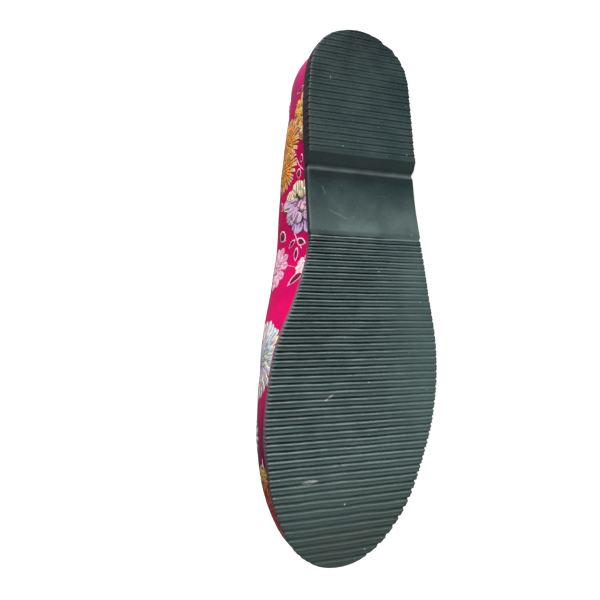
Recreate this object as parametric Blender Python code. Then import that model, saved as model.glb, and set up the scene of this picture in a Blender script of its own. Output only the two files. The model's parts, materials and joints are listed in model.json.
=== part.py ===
"""Embroidered ballet flat, right shoe: outsole, upper, insole and collar binding.

The shoe is drawn standing: x to its outer side, y from the heel to the toe, z up from the
plane that the tread stands on. An empty then lays it on its outer side, the way an empty
shoe comes to rest on a floor, with the tread facing -Y and the toe to -X.
"""
import math

import bmesh
import bpy
import numpy as np
from mathutils import Matrix, Vector

# Driving dimensions, in metres
LENGTH = 0.251          # outsole, heel end to toe tip
BALL_WIDTH = 0.083      # tread across the ball, parallel to the tread ribs
HEEL_HEIGHT = 0.0084    # top of the outsole above the ground, under the heel
BACK_HEIGHT = 0.057     # collar above the ground at the back seam
SOLE_EDGE = 0.0044      # outsole thickness under the ball and the toes
ARCH_LIFT = 0.0038      # waist of the tread above the ground
TOE_SPRING = 0.0065     # tread above the ground at the toe tip
HEEL_END = 0.067        # where the tread of the heel ends and the breast begins
BREAST_RUN = 0.0063     # length of the sloping breast
WAIST_END = 0.081       # where the arch starts to come down
BALL_START = 0.146      # where the tread touches the ground again
SPRING_START = 0.201    # where the tread leaves the ground towards the toe
HEEL_RADIUS = 0.0265    # rounding of the outsole at the heel, in plan
TOE_RADIUS = 0.035      # rounding of the outsole at the toe, in plan
COLLAR_HEEL_RADIUS = 0.018
THROAT_RADIUS = 0.034
LEDGE = 0.0010          # outsole edge that shows around the upper
WALL = 0.0018           # upper with its lining
SOCK = 0.0022           # insole
BINDING = 0.0010        # cloth of the collar binding
BINDING_DEPTH = 0.0021  # how far the binding reaches down each face of the upper
GAP = 0.0003            # between neighbouring pieces
CURVED_GAP = 0.0006     # sideways, where curved faces run side by side
SOCK_CLEARANCE = 0.0008  # between the insole's edge and the upper's inner face
FOLD = 0.3              # share of the binding's cloth that its folded corner stands out

# Plan of the tread. Shares of LENGTH along, shares of BALL_WIDTH inwards and outwards
# from the axis. Heel and toe roundings are cut from these lines.
TREAD_COLUMNS = ("along", "inner", "outer")
TREAD = (
    (0.00, 0.310, 0.380),
    (0.08, 0.290, 0.360),
    (0.16, 0.315, 0.360),
    (0.25, 0.325, 0.360),
    (0.35, 0.330, 0.360),
    (0.45, 0.350, 0.370),
    (0.54, 0.445, 0.375),
    (0.63, 0.570, 0.390),
    (0.71, 0.625, 0.365),
    (0.78, 0.650, 0.305),
    (0.85, 0.640, 0.215),
    (0.92, 0.620, 0.140),
    (1.00, 0.640, 0.110),
)

# One row for each section of the upper. "foot" is the share of LENGTH where the section
# stands on the sole, and "along" where it meets the collar. Inner and outer are shares of
# BALL_WIDTH at the collar, and "height" is a share of BACK_HEIGHT. The last four columns
# shape the section between them, in metres: it rises from the sole with a belly, and it
# drops from the collar with a brow.
SECTION_COLUMNS = ("foot", "along", "inner", "outer", "height", "rise", "belly", "drop", "brow")
SECTIONS = (
    (0.000, 0.020, 0.181, 0.229, 1.000, 0.017, 0.0045, 0.017, 0.003),
    (0.107, 0.091, 0.200, 0.245, 0.920, 0.016, 0.0035, 0.014, 0.004),
    (0.190, 0.175, 0.224, 0.268, 0.840, 0.015, 0.0040, 0.012, 0.005),
    (0.290, 0.278, 0.268, 0.294, 0.785, 0.015, 0.0060, 0.010, 0.009),
    (0.397, 0.373, 0.315, 0.318, 0.755, 0.015, 0.0070, 0.009, 0.011),
    (0.516, 0.455, 0.360, 0.320, 0.745, 0.014, 0.0055, 0.009, 0.009),
    (0.635, 0.508, 0.380, 0.314, 0.745, 0.013, 0.0026, 0.009, 0.006),
    (0.754, 0.548, 0.390, 0.300, 0.740, 0.014, 0.0018, 0.007, 0.005),
    (0.857, 0.583, 0.395, 0.280, 0.740, 0.016, 0.0035, 0.006, 0.009),
    (1.000, 0.643, 0.395, 0.170, 0.770, 0.017, 0.0050, 0.006, 0.004),
)
REACH = 0.48            # share of the way out to the sole that the brow covers
OUTER_FULLNESS = 0.35   # belly and brow of the outer side, next to those of the inner side

CAP_STEPS = 9           # stations around a quarter of the heel or of the toe
SIDE_STEPS = 26         # stations along each side, between the roundings
RIB_STEPS = 11          # faces from the sole up to the collar
SOLE_STEPS = 6          # faces across the outsole and the insole

RUBBER_DENSITY = 1100.0
CLOTH_DENSITY = 700.0


def smooth_column(rows, columns, name, share):
    """Value of a table's column at a share of the first column, on a smooth curve."""
    at = [row[0] for row in rows]
    value = [row[columns.index(name)] for row in rows]
    i = min(max(int(np.searchsorted(at, share)) - 1, 0), len(at) - 2)
    slope = np.gradient(value, at)
    span = at[i + 1] - at[i]
    t = (share - at[i]) / span
    return ((2 * t**3 - 3 * t**2 + 1) * value[i] + (t**3 - 2 * t**2 + t) * span * slope[i]
            + (3 * t**2 - 2 * t**3) * value[i + 1] + (t**3 - t**2) * span * slope[i + 1])


def ease(start, end, at):
    """0 before start, 1 after end, and a smooth step between."""
    t = min(max((at - start) / (end - start), 0.0), 1.0)
    return t * t * (3 - 2 * t)


def rounding(from_heel, heel_radius, from_toe, toe_radius):
    """Share of the full width that is left near a round end."""
    share = 1.0
    for distance, radius in ((from_heel, heel_radius), (from_toe, toe_radius)):
        if distance < radius:
            share = min(share, math.sqrt(max(1 - (1 - distance / radius) ** 2, 0.0)))
    return share


def spring(y):
    """Height that the toe spring adds."""
    if y <= SPRING_START:
        return 0.0
    return TOE_SPRING * ((y - SPRING_START) / (LENGTH - SPRING_START)) ** 2


def tread_height(y):
    """Underside of the outsole: flat heel, sloping breast, arch, flat ball, toe spring."""
    arch = ease(HEEL_END, HEEL_END + BREAST_RUN, y) - ease(WAIST_END, BALL_START, y)
    return ARCH_LIFT * arch + spring(y)


def seat_height(y):
    """Top of the outsole, where the upper and the insole sit."""
    fall = ease(HEEL_END, BALL_START, y)
    return HEEL_HEIGHT + (SOLE_EDGE - HEEL_HEIGHT) * fall + spring(y)


def stations():
    """Shares of the length where sections are taken, closer together at the round ends."""
    heel = HEEL_RADIUS / LENGTH
    toe = TOE_RADIUS / LENGTH
    turn = [1 - math.cos(math.pi / 2 * k / CAP_STEPS) for k in range(CAP_STEPS)]
    side = [heel + (1 - heel - toe) * k / SIDE_STEPS for k in range(SIDE_STEPS + 1)]
    edges = (HEEL_END / LENGTH, (HEEL_END + BREAST_RUN) / LENGTH)
    for edge in edges:
        side[min(range(len(side)), key=lambda k: abs(side[k] - edge))] = edge
    return [heel * t for t in turn] + side + [1 - toe * t for t in reversed(turn)]


def plan(share, inset):
    """y, inner x and outer x of the sole's outline at a station, drawn in by inset."""
    y = inset + share * (LENGTH - 2 * inset)
    inner = -smooth_column(TREAD, TREAD_COLUMNS, "inner", share) * BALL_WIDTH + inset
    outer = smooth_column(TREAD, TREAD_COLUMNS, "outer", share) * BALL_WIDTH - inset
    left = rounding(share * LENGTH, HEEL_RADIUS, (1 - share) * LENGTH, TOE_RADIUS)
    middle = (inner + outer) / 2
    return y, middle + (inner - middle) * left, middle + (outer - middle) * left


def collar_plan(share):
    """y, inner x, outer x and z of the collar at a station."""
    y, inner, outer, height = (smooth_column(SECTIONS, SECTION_COLUMNS, name, share)
                               for name in ("along", "inner", "outer", "height"))
    start, end = SECTIONS[0][1], SECTIONS[-1][1]
    inner, outer = -inner * BALL_WIDTH, outer * BALL_WIDTH
    left = rounding((y - start) * LENGTH, COLLAR_HEEL_RADIUS,
                    (end - y) * LENGTH, THROAT_RADIUS)
    middle = (inner + outer) / 2
    return (y * LENGTH, middle + (inner - middle) * left,
            middle + (outer - middle) * left, height * BACK_HEIGHT)


def loop_of(sides):
    """Closed loop from (inner point, outer point) pairs, heel to toe and back."""
    inner = [pair[0] for pair in sides]
    outer = [pair[1] for pair in sides[1:-1]]
    return inner + outer[::-1]


def outward(loop):
    """Level direction that points away from the inside of a closed loop, at each point."""
    middle = sum(loop, Vector()) / len(loop)
    result = []
    for k, point in enumerate(loop):
        along = loop[(k + 1) % len(loop)] - loop[k - 1]
        side = Vector((along.y, -along.x, 0)).normalized()
        result.append(side if side.dot(point - middle) > 0 else -side)
    return result


def middle_weight(share):
    """1 along the sides, and 0 at the heel end and the toe tip, where the sides meet."""
    return ease(0.0, 0.12, share) * (1 - ease(0.80, 1.0, share))


def upper_ribs():
    """The upper's outer face: one curved rib for each station, from sole to collar."""
    shares = stations()
    foot, collar = [], []
    for share in shares:
        y, inner, outer = plan(share, LEDGE)
        z = seat_height(y) + GAP
        foot.append((Vector((inner, y, z)), Vector((outer, y, z))))
        y, inner, outer, z = collar_plan(share)
        collar.append((Vector((inner, y, z)), Vector((outer, y, z))))
    foot, collar = loop_of(foot), loop_of(collar)
    handles = loop_of([((share, 1.0), (share, OUTER_FULLNESS)) for share in shares])
    ribs = []
    for low, high, out_low, out_high, (share, side_fullness) in zip(
            foot, collar, outward(foot), outward(collar), handles):
        fullness = 1 + (side_fullness - 1) * middle_weight(share)
        rise, belly, drop, brow = (smooth_column(SECTIONS, SECTION_COLUMNS, name, share)
                                   for name in ("rise", "belly", "drop", "brow"))
        first = low + Vector((0, 0, rise)) + out_low * belly * fullness
        over = Vector((low.x - high.x, low.y - high.y, 0)) * REACH
        second = high + over - Vector((0, 0, drop)) + out_high * brow * fullness
        rib = []
        for k in range(RIB_STEPS + 1):
            t = k / RIB_STEPS
            rib.append(low * (1 - t) ** 3 + first * 3 * t * (1 - t) ** 2
                       + second * 3 * t**2 * (1 - t) + high * t**3)
        ribs.append(rib)
    return ribs


def material(name, color, roughness, metallic=0.0):
    """Principled material of one piece."""
    made = bpy.data.materials.new(name)
    made.use_nodes = True
    shader = made.node_tree.nodes["Principled BSDF"]
    shader.inputs["Base Color"].default_value = (*color, 1)
    shader.inputs["Roughness"].default_value = roughness
    shader.inputs["Metallic"].default_value = metallic
    return made


def piece(name, mesh_maker, finish):
    """Object made of the closed mesh that mesh_maker draws."""
    mesh = bpy.data.meshes.new(name)
    bm = bmesh.new()
    mesh_maker(bm)
    bmesh.ops.remove_doubles(bm, verts=bm.verts, dist=0.00002)
    bmesh.ops.recalc_face_normals(bm, faces=bm.faces)
    bm.to_mesh(mesh)
    bm.free()
    mesh.materials.append(finish)
    mesh.shade_smooth()
    mesh.set_sharp_from_angle(angle=math.radians(40))
    made = bpy.data.objects.new(name, mesh)
    bpy.context.scene.collection.objects.link(made)
    return made


def bridge(bm, rings, closed):
    """Faces between each ring of points and the next."""
    made = [[bm.verts.new(point) for point in ring] for ring in rings]
    pairs = list(zip(made, made[1:] + made[:1])) if closed else list(zip(made, made[1:]))
    for near, far in pairs:
        for k in range(len(near)):
            after = (k + 1) % len(near)
            bm.faces.new((near[k], near[after], far[after], far[k]))


def slab(bm, inset, bottom, top):
    """Plate with the sole's outline, between two height lines along the shoe."""
    rings = []
    for share in stations():
        y, inner, outer = plan(share, inset)
        across = [inner + (outer - inner) * k / SOLE_STEPS for k in range(SOLE_STEPS + 1)]
        under = [Vector((x, y, bottom(y))) for x in across]
        over = [Vector((x, y, top(y))) for x in reversed(across)]
        rings.append(under + over)
    bridge(bm, rings, closed=False)


def outsole_mesh(bm):
    """One moulded rubber unit: low heel, waist and forefoot."""
    slab(bm, 0.0, tread_height, seat_height)


def insole_mesh(bm):
    """Padded sock inside the upper, on the outsole."""
    slab(bm, LEDGE + WALL + SOCK_CLEARANCE,
         lambda y: seat_height(y) + GAP,
         lambda y: seat_height(y) + GAP + SOCK)


def upper_mesh(bm):
    """Outer face of the upper, open at the collar and where it stands on the sole."""
    bridge_ribs(bm, upper_ribs())


def bridge_ribs(bm, ribs):
    """Faces between neighbouring ribs, around the shoe."""
    made = [[bm.verts.new(point) for point in rib] for rib in ribs]
    for near, far in zip(made, made[1:] + made[:1]):
        for k in range(len(near) - 1):
            bm.faces.new((near[k], near[k + 1], far[k + 1], far[k]))


def binding_mesh(bm):
    """Folded strip over the collar edge: a channel that clears both faces of the upper."""
    ribs = upper_ribs()
    edge = [rib[-1] for rib in ribs]
    rings = []
    for k, rib in enumerate(ribs):
        down = (rib[-2] - rib[-1]).normalized()
        along = (edge[(k + 1) % len(edge)] - edge[k - 1]).normalized()
        face = along.cross(down).normalized()
        rings.append(channel(rib[-1], face, down))
    bridge(bm, rings, closed=True)


def channel(point, face, down):
    """Section of the binding at one point of the collar edge."""
    outer, inner = CURVED_GAP, -WALL - CURVED_GAP
    roof = -CURVED_GAP
    corners = (
        (outer, BINDING_DEPTH),
        (outer + BINDING, BINDING_DEPTH),
        (outer + BINDING, roof),
        (outer + BINDING * FOLD, roof - BINDING),
        (inner - BINDING * FOLD, roof - BINDING),
        (inner - BINDING, roof),
        (inner - BINDING, BINDING_DEPTH),
        (inner, BINDING_DEPTH),
        (inner, roof),
        (outer, roof),
    )
    return [point + face * a + down * b for a, b in corners]


def evaluated_vertices(pieces):
    """World coordinates of all the vertices, with modifiers in place."""
    graph = bpy.context.evaluated_depsgraph_get()
    points = []
    for made in pieces:
        shown = made.evaluated_get(graph)
        mesh = shown.to_mesh()
        points.extend(made.matrix_world @ vertex.co for vertex in mesh.vertices)
        shown.to_mesh_clear()
    return points


def volume_and_centre(made):
    """Volume and centre of volume of a closed piece."""
    graph = bpy.context.evaluated_depsgraph_get()
    shown = made.evaluated_get(graph)
    mesh = shown.to_mesh()
    mesh.calc_loop_triangles()
    volume, moment = 0.0, Vector()
    for triangle in mesh.loop_triangles:
        a, b, c = (mesh.vertices[k].co for k in triangle.vertices)
        part = a.dot(b.cross(c)) / 6
        volume += part
        moment += (a + b + c) * (part / 4)
    shown.to_mesh_clear()
    return volume, moment / volume


def balance(pieces):
    """Centre of mass of the shoe, rubber outsole and cloth pieces together."""
    total, moment = 0.0, Vector()
    for made in pieces:
        density = RUBBER_DENSITY if made.name == "outsole" else CLOTH_DENSITY
        volume, centre = volume_and_centre(made)
        total += volume * density
        moment += centre * volume * density
    return moment / total


def resting_face(pieces):
    """Outward normal of the hull face on the outer side that the shoe balances on."""
    hull = bmesh.new()
    for point in evaluated_vertices(pieces):
        hull.verts.new(point)
    bmesh.ops.convex_hull(hull, input=hull.verts, use_existing_faces=False)
    centre = balance(pieces)
    best, found = -1.0, None
    for face in hull.faces:
        normal = face.normal
        if normal.dot(face.verts[0].co - centre) < 0:
            normal = -normal
        foot = centre + normal * normal.dot(face.verts[0].co - centre)
        corners = [vertex.co for vertex in face.verts]
        turns = [(b - a).cross(foot - a).dot(normal)
                 for a, b in zip(corners, corners[1:] + corners[:1])]
        inside = min(turns) >= 0 or max(turns) <= 0
        if inside and normal.x > best:
            best, found = normal.x, normal.copy()
    hull.free()
    return found


def lay_down(pieces, frame):
    """Turn the empty so that the shoe lies on its outer side, and set it on the floor."""
    normal = resting_face(pieces)
    toe = Vector((0, 1, 0))
    left = -(toe - normal * toe.dot(normal)).normalized()
    up = -normal
    back = up.cross(left)
    frame.matrix_world = Matrix((left, back, up)).to_4x4()
    bpy.context.view_layer.update()
    points = evaluated_vertices(pieces)
    low = [min(point[k] for point in points) for k in range(3)]
    high = [max(point[k] for point in points) for k in range(3)]
    shift = Vector(((low[0] + high[0]) / 2, (low[1] + high[1]) / 2, low[2]))
    frame.matrix_world = Matrix.Translation(-shift) @ frame.matrix_world
    bpy.context.view_layer.update()


def main():
    for old in list(bpy.data.objects):
        bpy.data.objects.remove(old)
    rubber = material("rubber", (0.045, 0.067, 0.063), 0.62)
    brocade = material("brocade", (0.62, 0.005, 0.14), 0.42)
    sock = material("sock", (0.70, 0.58, 0.44), 0.75)
    satin = material("satin", (0.33, 0.004, 0.09), 0.45)
    outsole = piece("outsole", outsole_mesh, rubber)
    insole = piece("insole", insole_mesh, sock)
    upper = piece("upper", upper_mesh, brocade)
    wall = upper.modifiers.new("wall", "SOLIDIFY")
    wall.thickness = WALL
    wall.offset = -1
    wall.use_even_offset = True
    binding = piece("collar_binding", binding_mesh, satin)
    pieces = (outsole, insole, upper, binding)
    frame = bpy.data.objects.new("shoe_frame", None)
    bpy.context.scene.collection.objects.link(frame)
    for made in pieces:
        made.parent = frame
    bpy.context.view_layer.update()
    lay_down(pieces, frame)


main()
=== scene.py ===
# %% [markdown]
# # Embroidered ballet flat, right shoe
#
# A soft slip-on flat has few pieces: a satin brocade upper with a lining, a folded binding
# round its collar, a padded insole, and a moulded rubber outsole with cross ribs. This one
# lies on its outer side, so its tread faces the front of the scene.
#
# The frame is the maker's plain model of the same shoe. It gives every place and size, and
# it stays as it is. The pieces that show are built round it.

# %% Load the frame
import json
import math
import random

import bpy
import numpy as np
from mathutils import Matrix, Vector, noise
from mathutils.bvhtree import BVHTree


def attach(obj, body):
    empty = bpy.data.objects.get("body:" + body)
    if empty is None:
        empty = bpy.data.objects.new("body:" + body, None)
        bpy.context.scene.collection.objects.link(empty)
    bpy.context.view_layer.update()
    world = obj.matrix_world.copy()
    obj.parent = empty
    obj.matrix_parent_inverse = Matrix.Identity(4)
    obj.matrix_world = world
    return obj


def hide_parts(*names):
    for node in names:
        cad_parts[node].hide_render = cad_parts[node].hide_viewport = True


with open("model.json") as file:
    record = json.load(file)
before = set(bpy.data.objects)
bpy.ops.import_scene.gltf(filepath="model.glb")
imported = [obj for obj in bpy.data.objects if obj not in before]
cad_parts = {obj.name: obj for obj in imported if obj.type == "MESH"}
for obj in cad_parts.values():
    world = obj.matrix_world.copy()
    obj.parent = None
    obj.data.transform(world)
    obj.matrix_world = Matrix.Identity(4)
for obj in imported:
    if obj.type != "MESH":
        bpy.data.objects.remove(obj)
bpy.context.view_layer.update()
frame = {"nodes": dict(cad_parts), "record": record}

# %% [markdown]
# ## The shoe's own axes
#
# A shoemaker measures across the shoe, along it from the heel, and up from the ground that
# it would stand on. The two tread faces of the record are known both in those measures and
# in the scene, so they give the turn and the place of the whole shoe. From here on, places
# on the shoe are in its own millimetres: x to the outer side, y to the toe, z up.

# %% Axes from the two tread faces
MM = 0.001
HEEL_FACE = Vector((1.5, 35.0, 0.0))
BALL_FACE = Vector((-10.0, 175.0, 0.0))

mounts = {mount["name"]: mount for mount in frame["record"]["mounts"]}
heel_at = Vector(mounts["heel_tread"]["pos_m"])
ball_at = Vector(mounts["forefoot_tread"]["pos_m"])
up = -Vector(mounts["heel_tread"]["axis"]).normalized()
line = ball_at - heel_at
line = (line - up * line.dot(up)).normalized()
aside = line.cross(up)
reach = BALL_FACE - HEEL_FACE
toeward = (line * reach.y - aside * reach.x) / reach.length
outward = (line * reach.x + aside * reach.y) / reach.length
AXES = np.array([outward, toeward, up]).T
ORIGIN = np.array(heel_at) - AXES @ np.array(HEEL_FACE) * MM


def to_scene(points):
    """Scene metres of points in shoe millimetres."""
    return np.asarray(points, float) @ AXES.T * MM + ORIGIN


def to_shoe(points):
    """Shoe millimetres of points in scene metres."""
    return (np.asarray(points, float) - ORIGIN) @ AXES / MM


def direction(x, y, z):
    """Scene direction of a shoe direction."""
    return Vector(AXES @ np.array((x, y, z))).normalized()


print("toe points to", [round(v, 3) for v in toeward])

# %% [markdown]
# ## A few hand tools
#
# Operators act on whatever is selected, so each step first selects its own piece alone.
# Vertices are read and written in shoe millimetres.

# %% Selecting, reading and placing
def alone(*pieces):
    """Only these are selected, and the first is active."""
    bpy.ops.object.select_all(action="DESELECT")
    for piece in pieces:
        piece.select_set(True)
    bpy.context.view_layer.objects.active = pieces[0]


def points_of(piece):
    """Vertices of a piece, in shoe millimetres."""
    flat = np.zeros(len(piece.data.vertices) * 3)
    piece.data.vertices.foreach_get("co", flat)
    return to_shoe(flat.reshape(-1, 3))


def place(piece, points):
    """Move the vertices of a piece to shoe millimetres."""
    piece.data.vertices.foreach_set("co", to_scene(points).ravel())
    piece.data.update()


def edit(piece, *steps):
    """Run edit-mode steps on the whole of a piece."""
    alone(piece)
    bpy.ops.object.mode_set(mode="EDIT")
    bpy.ops.mesh.select_all(action="SELECT")
    for step in steps:
        step()
    bpy.ops.object.mode_set(mode="OBJECT")


def modify(piece, kind, **values):
    """Add a modifier, set it and apply it."""
    alone(piece)
    made = piece.modifiers.new(kind.lower(), kind)
    for key, value in values.items():
        setattr(made, key, value)
    bpy.ops.object.modifier_apply(modifier=made.name)


# %% Copies of CAD nodes, grids and new pieces
def copy_of(node, name):
    """Merged copy of a CAD node in four-sided faces."""
    piece = bpy.data.objects.new(name, frame["nodes"][node].data.copy())
    bpy.context.scene.collection.objects.link(piece)
    piece.data.materials.clear()
    edit(piece,
         lambda: bpy.ops.mesh.remove_doubles(threshold=0.00001),
         lambda: bpy.ops.mesh.tris_convert_to_quads(face_threshold=math.pi, shape_threshold=math.pi))
    return piece


def grid(name, across, along):
    """Flat grid primitive with its vertices in rows, as an array of row and column."""
    bpy.ops.object.select_all(action="DESELECT")
    bpy.ops.mesh.primitive_grid_add(x_subdivisions=across - 1, y_subdivisions=along - 1, size=1)
    piece = bpy.context.object
    piece.name = piece.data.name = name
    flat = np.zeros(across * along * 3)
    piece.data.vertices.foreach_get("co", flat)
    column = np.rint((flat[0::3] + 0.5) * (across - 1)).astype(int)
    row = np.rint((flat[1::3] + 0.5) * (along - 1)).astype(int)
    order = np.zeros((along, across), int)
    order[row, column] = np.arange(across * along)
    return piece, order


def mesh_piece(name, points, faces):
    """New piece from shoe millimetres and faces."""
    mesh = bpy.data.meshes.new(name)
    mesh.from_pydata(to_scene([tuple(point) for point in points]).tolist(), [], faces)
    piece = bpy.data.objects.new(name, mesh)
    bpy.context.scene.collection.objects.link(piece)
    return piece


# %% Search trees and shading
def tree_of(piece):
    """Search tree over a piece's faces, in shoe millimetres."""
    return BVHTree.FromPolygons([Vector(point) for point in points_of(piece)],
                                [tuple(face.vertices) for face in piece.data.polygons])


def smooth(piece, degrees):
    """Shade a piece smooth wherever its faces meet at less than an angle."""
    alone(piece)
    bpy.ops.object.shade_smooth_by_angle(angle=math.radians(degrees))


def triangles(piece):
    piece.data.calc_loop_triangles()
    return len(piece.data.loop_triangles)


# %% [markdown]
# ## Outline of the sole
#
# The outsole of the frame is built of straight cuts across the shoe. Their ends give the plan
# of the tread. A smooth curve through them, heel to toe and back, gives the edge anywhere,
# with no corners left.

# %% Edge curve from the outsole's cuts
EDGE_SAMPLES = 40


def curve_through(points, per_span):
    """Points on a smooth closed curve through a loop of points."""
    before, after = np.roll(points, 1, 0), np.roll(points, -1, 0)
    spans = np.linalg.norm(after - points, axis=1)[:, None]
    slope = (after - before) / (spans + np.roll(spans, 1, 0))
    made = []
    for k in range(len(points)):
        near, far = points[k], points[(k + 1) % len(points)]
        start, end = slope[k] * spans[k], slope[(k + 1) % len(points)] * spans[k]
        for step in range(per_span):
            t = step / per_span
            made.append((2 * t**3 - 3 * t**2 + 1) * near + (t**3 - 2 * t**2 + t) * start
                        + (3 * t**2 - 2 * t**3) * far + (t**3 - t**2) * end)
    return np.array(made)


corners = points_of(frame["nodes"]["outsole"])
levels = []
for y in sorted(set(corners[:, 1].round(1))):
    row = corners[abs(corners[:, 1] - y) < 0.06]
    levels.append((y, row[:, 2].min(), row[:, 2].max(), row[:, 0].min(), row[:, 0].max()))
levels = np.array(levels)
SOLE_LENGTH = float(corners[:, 1].max())
axis_x = (levels[0, 3] + (levels[-1, 3] - levels[0, 3]) * levels[:, 0] / SOLE_LENGTH)
inner_side = levels[:, [3, 0]]
outer_side = levels[1:-1][levels[1:-1, 4] > axis_x[1:-1] + 1.0][:, [4, 0]][::-1]
edge_line = curve_through(np.vstack((inner_side, outer_side)), EDGE_SAMPLES)
heel_tip, toe_tip = int(edge_line[:, 1].argmin()), int(edge_line[:, 1].argmax())
edge_line = np.roll(edge_line, -heel_tip, 0)
toe_tip = (toe_tip - heel_tip) % len(edge_line)
inner_edge = edge_line[: toe_tip + 1]
outer_edge = np.vstack((edge_line[toe_tip:], edge_line[:1]))[::-1]


def edges_at(y):
    """Inner and outer x of the sole's edge at y."""
    return (float(np.interp(y, inner_edge[:, 1], inner_edge[:, 0])),
            float(np.interp(y, outer_edge[:, 1], outer_edge[:, 0])))


def underside_at(y):
    return float(np.interp(y, levels[:, 0], levels[:, 1]))


def topside_at(y):
    return float(np.interp(y, levels[:, 0], levels[:, 2]))


print("sole length", round(SOLE_LENGTH, 1), "cuts", len(levels),
      "width at the ball", round(edges_at(185)[1] - edges_at(185)[0], 1))

# %% [markdown]
# ## Outsole
#
# The outsole is one moulded rubber unit. Its tread has cross ribs under the heel and the
# forefoot and a smooth waist between them, with a short slope, the breast, at the front of
# the heel. A rib is a double one: a high ridge with a bevel towards the heel, a shallow
# channel, and a lower ridge, then a deep groove.
#
# The ribs could be cut with booleans or drawn in a bump map. Here they are real relief: one
# grid primitive has its rows where the rib's corners fall, and its columns go round the
# section: under, up the outer wall, back over the top and down the inner wall.

# %% Rib sections and the rows along the sole
HEEL_RIBS = (1.0, 67.3)         # from and to, along the shoe
FORE_RIBS = (106.2, 249.6)
HEEL_PITCH = 3.5
# Where along the shoe, and the pitch there. Ribs are closest at the waist.
FORE_PITCH = ((106, 2.92), (130, 3.14), (160, 3.42), (205, 3.47), (225, 3.60), (250, 3.64))
GROOVE = 0.82                   # depth of a forefoot groove
HEEL_GROOVE = 0.20
CHANNEL_FADE = 0.6              # share of a rib's channel that is worn away at the toe

# Rows of one rib: share of the pitch, share of the groove's depth, and how much painted highlight it gets.
FORE_RIB = ((0.00, 1.00, 0.0), (0.05, 0.98, 0.0), (0.10, 0.84, 0.2), (0.17, 0.58, 0.9), (0.25, 0.32, 1.0),
            (0.33, 0.12, 0.5), (0.40, 0.03, 0.1), (0.46, 0.18, 0.0), (0.54, 0.42, 0.0), (0.62, 0.40, 0.0),
            (0.71, 0.26, 0.0), (0.80, 0.12, 0.1), (0.88, 0.06, 0.1), (0.94, 0.42, 0.0))
HEEL_RIB = ((0.00, 1.00, 0.0), (0.06, 0.86, 0.0), (0.12, 0.50, 0.0), (0.20, 0.32, 0.1), (0.30, 0.34, 0.0),
            (0.42, 0.48, 0.0), (0.54, 0.40, 0.0), (0.66, 0.16, 0.1), (0.78, 0.00, 0.2), (0.88, 0.10, 0.2),
            (0.94, 0.60, 0.0))
CREASE_AT = 72.7                # small channel where the breast meets the waist
CREASE_DEPTH = 0.42
CREASE_REACH = 1.0
CHANNEL = (0.4, 0.8)            # phases of a forefoot rib between which its channel lies
END_ROWS = 8                    # rows that round each end of the sole


def ease(start, end, at):
    t = min(max((at - start) / (end - start), 0.0), 1.0)
    return t * t * (3 - 2 * t)


def rib_rows(span, pitch_at, section, depth):
    """(y, depth, painted highlight) of each row of a ribbed stretch."""
    rows, y = [], span[0]
    while y + pitch_at(y) <= span[1] + 0.01:
        kept = 1 - CHANNEL_FADE * ease(195, 230, y)
        for phase, share, rubbed in section:
            faded = kept if CHANNEL[0] < phase < CHANNEL[1] else 1
            rows.append((y + phase * pitch_at(y), share * depth * faded, rubbed))
        y += pitch_at(y)
    return rows + [(y, depth, 0.0)], y


def crease(y):
    return CREASE_DEPTH * math.exp(-((y - CREASE_AT) / CREASE_REACH) ** 2)


def spread(start, end, step):
    """Rows of a smooth stretch, without its ends."""
    count = max(int(round((end - start) / step)), 2)
    rows = [start + (end - start) * k / count for k in range(1, count)]
    return [(y, crease(y), 0.0) for y in rows]


heel_rows, heel_rib_end = rib_rows(HEEL_RIBS, lambda y: HEEL_PITCH, HEEL_RIB, HEEL_GROOVE)
fore_rows, fore_rib_end = rib_rows(
    FORE_RIBS, lambda y: float(np.interp(y, *zip(*FORE_PITCH))), FORE_RIB, GROOVE)
rounding = [math.pi / 2 * k / END_ROWS for k in range(END_ROWS + 1)]
heel_end = [(HEEL_RIBS[0] * (1 - math.cos(turn)), 0.0, 0.0) for turn in rounding[:-1]]
toe_end = [(fore_rib_end + (SOLE_LENGTH - fore_rib_end) * math.sin(turn), 0.0, 0.0) for turn in rounding[1:]]
waist_rows = spread(heel_rib_end, 78, 0.4) + spread(78, FORE_RIBS[0], 1.5)
ROWS = heel_end + heel_rows + waist_rows + fore_rows + toe_end
print("rows", len(ROWS), "heel ribs", len(heel_rows) // len(HEEL_RIB),
      "forefoot ribs", len(fore_rows) // len(FORE_RIB))

# %% Columns round a section
UNDER = 34              # faces across the tread
EDGE_SHARES = (0.0, 0.006, 0.016, 0.04)
WALL_SHARES = (0.12, 0.38, 0.64, 0.90)
TOP_SHARES = (0.06, 0.35, 0.65, 0.94)
inner_part = [-1 + 2 * share for share in EDGE_SHARES]
middle_part = [-0.88 + 1.76 * k / UNDER for k in range(UNDER + 1)]
under_shares = inner_part + middle_part + [-share for share in reversed(inner_part)]
print("columns under the tread", len(under_shares))

# %% Wear of the tread and its edge
MOST_RUB = 0.8
RUBBED_ZONES = (        # middle x and y, half sizes, and the share of the relief that is gone
    (-22, 197, 26, 30, 0.25), (18, 175, 18, 45, 0.30), (-27, 236, 32, 24, 0.50),
    (10, 14, 20, 18, 0.35), (34, 128, 24, 42, 0.75), (30, 190, 24, 50, 0.35),
)


def rub(x, y):
    """How far the tread is worn down, as a share of its relief."""
    return min(sum(most * math.exp(-((x - at_x) / half_x) ** 2 - ((y - at_y) / half_y) ** 2)
                   for at_x, at_y, half_x, half_y, most in RUBBED_ZONES), MOST_RUB)


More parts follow.
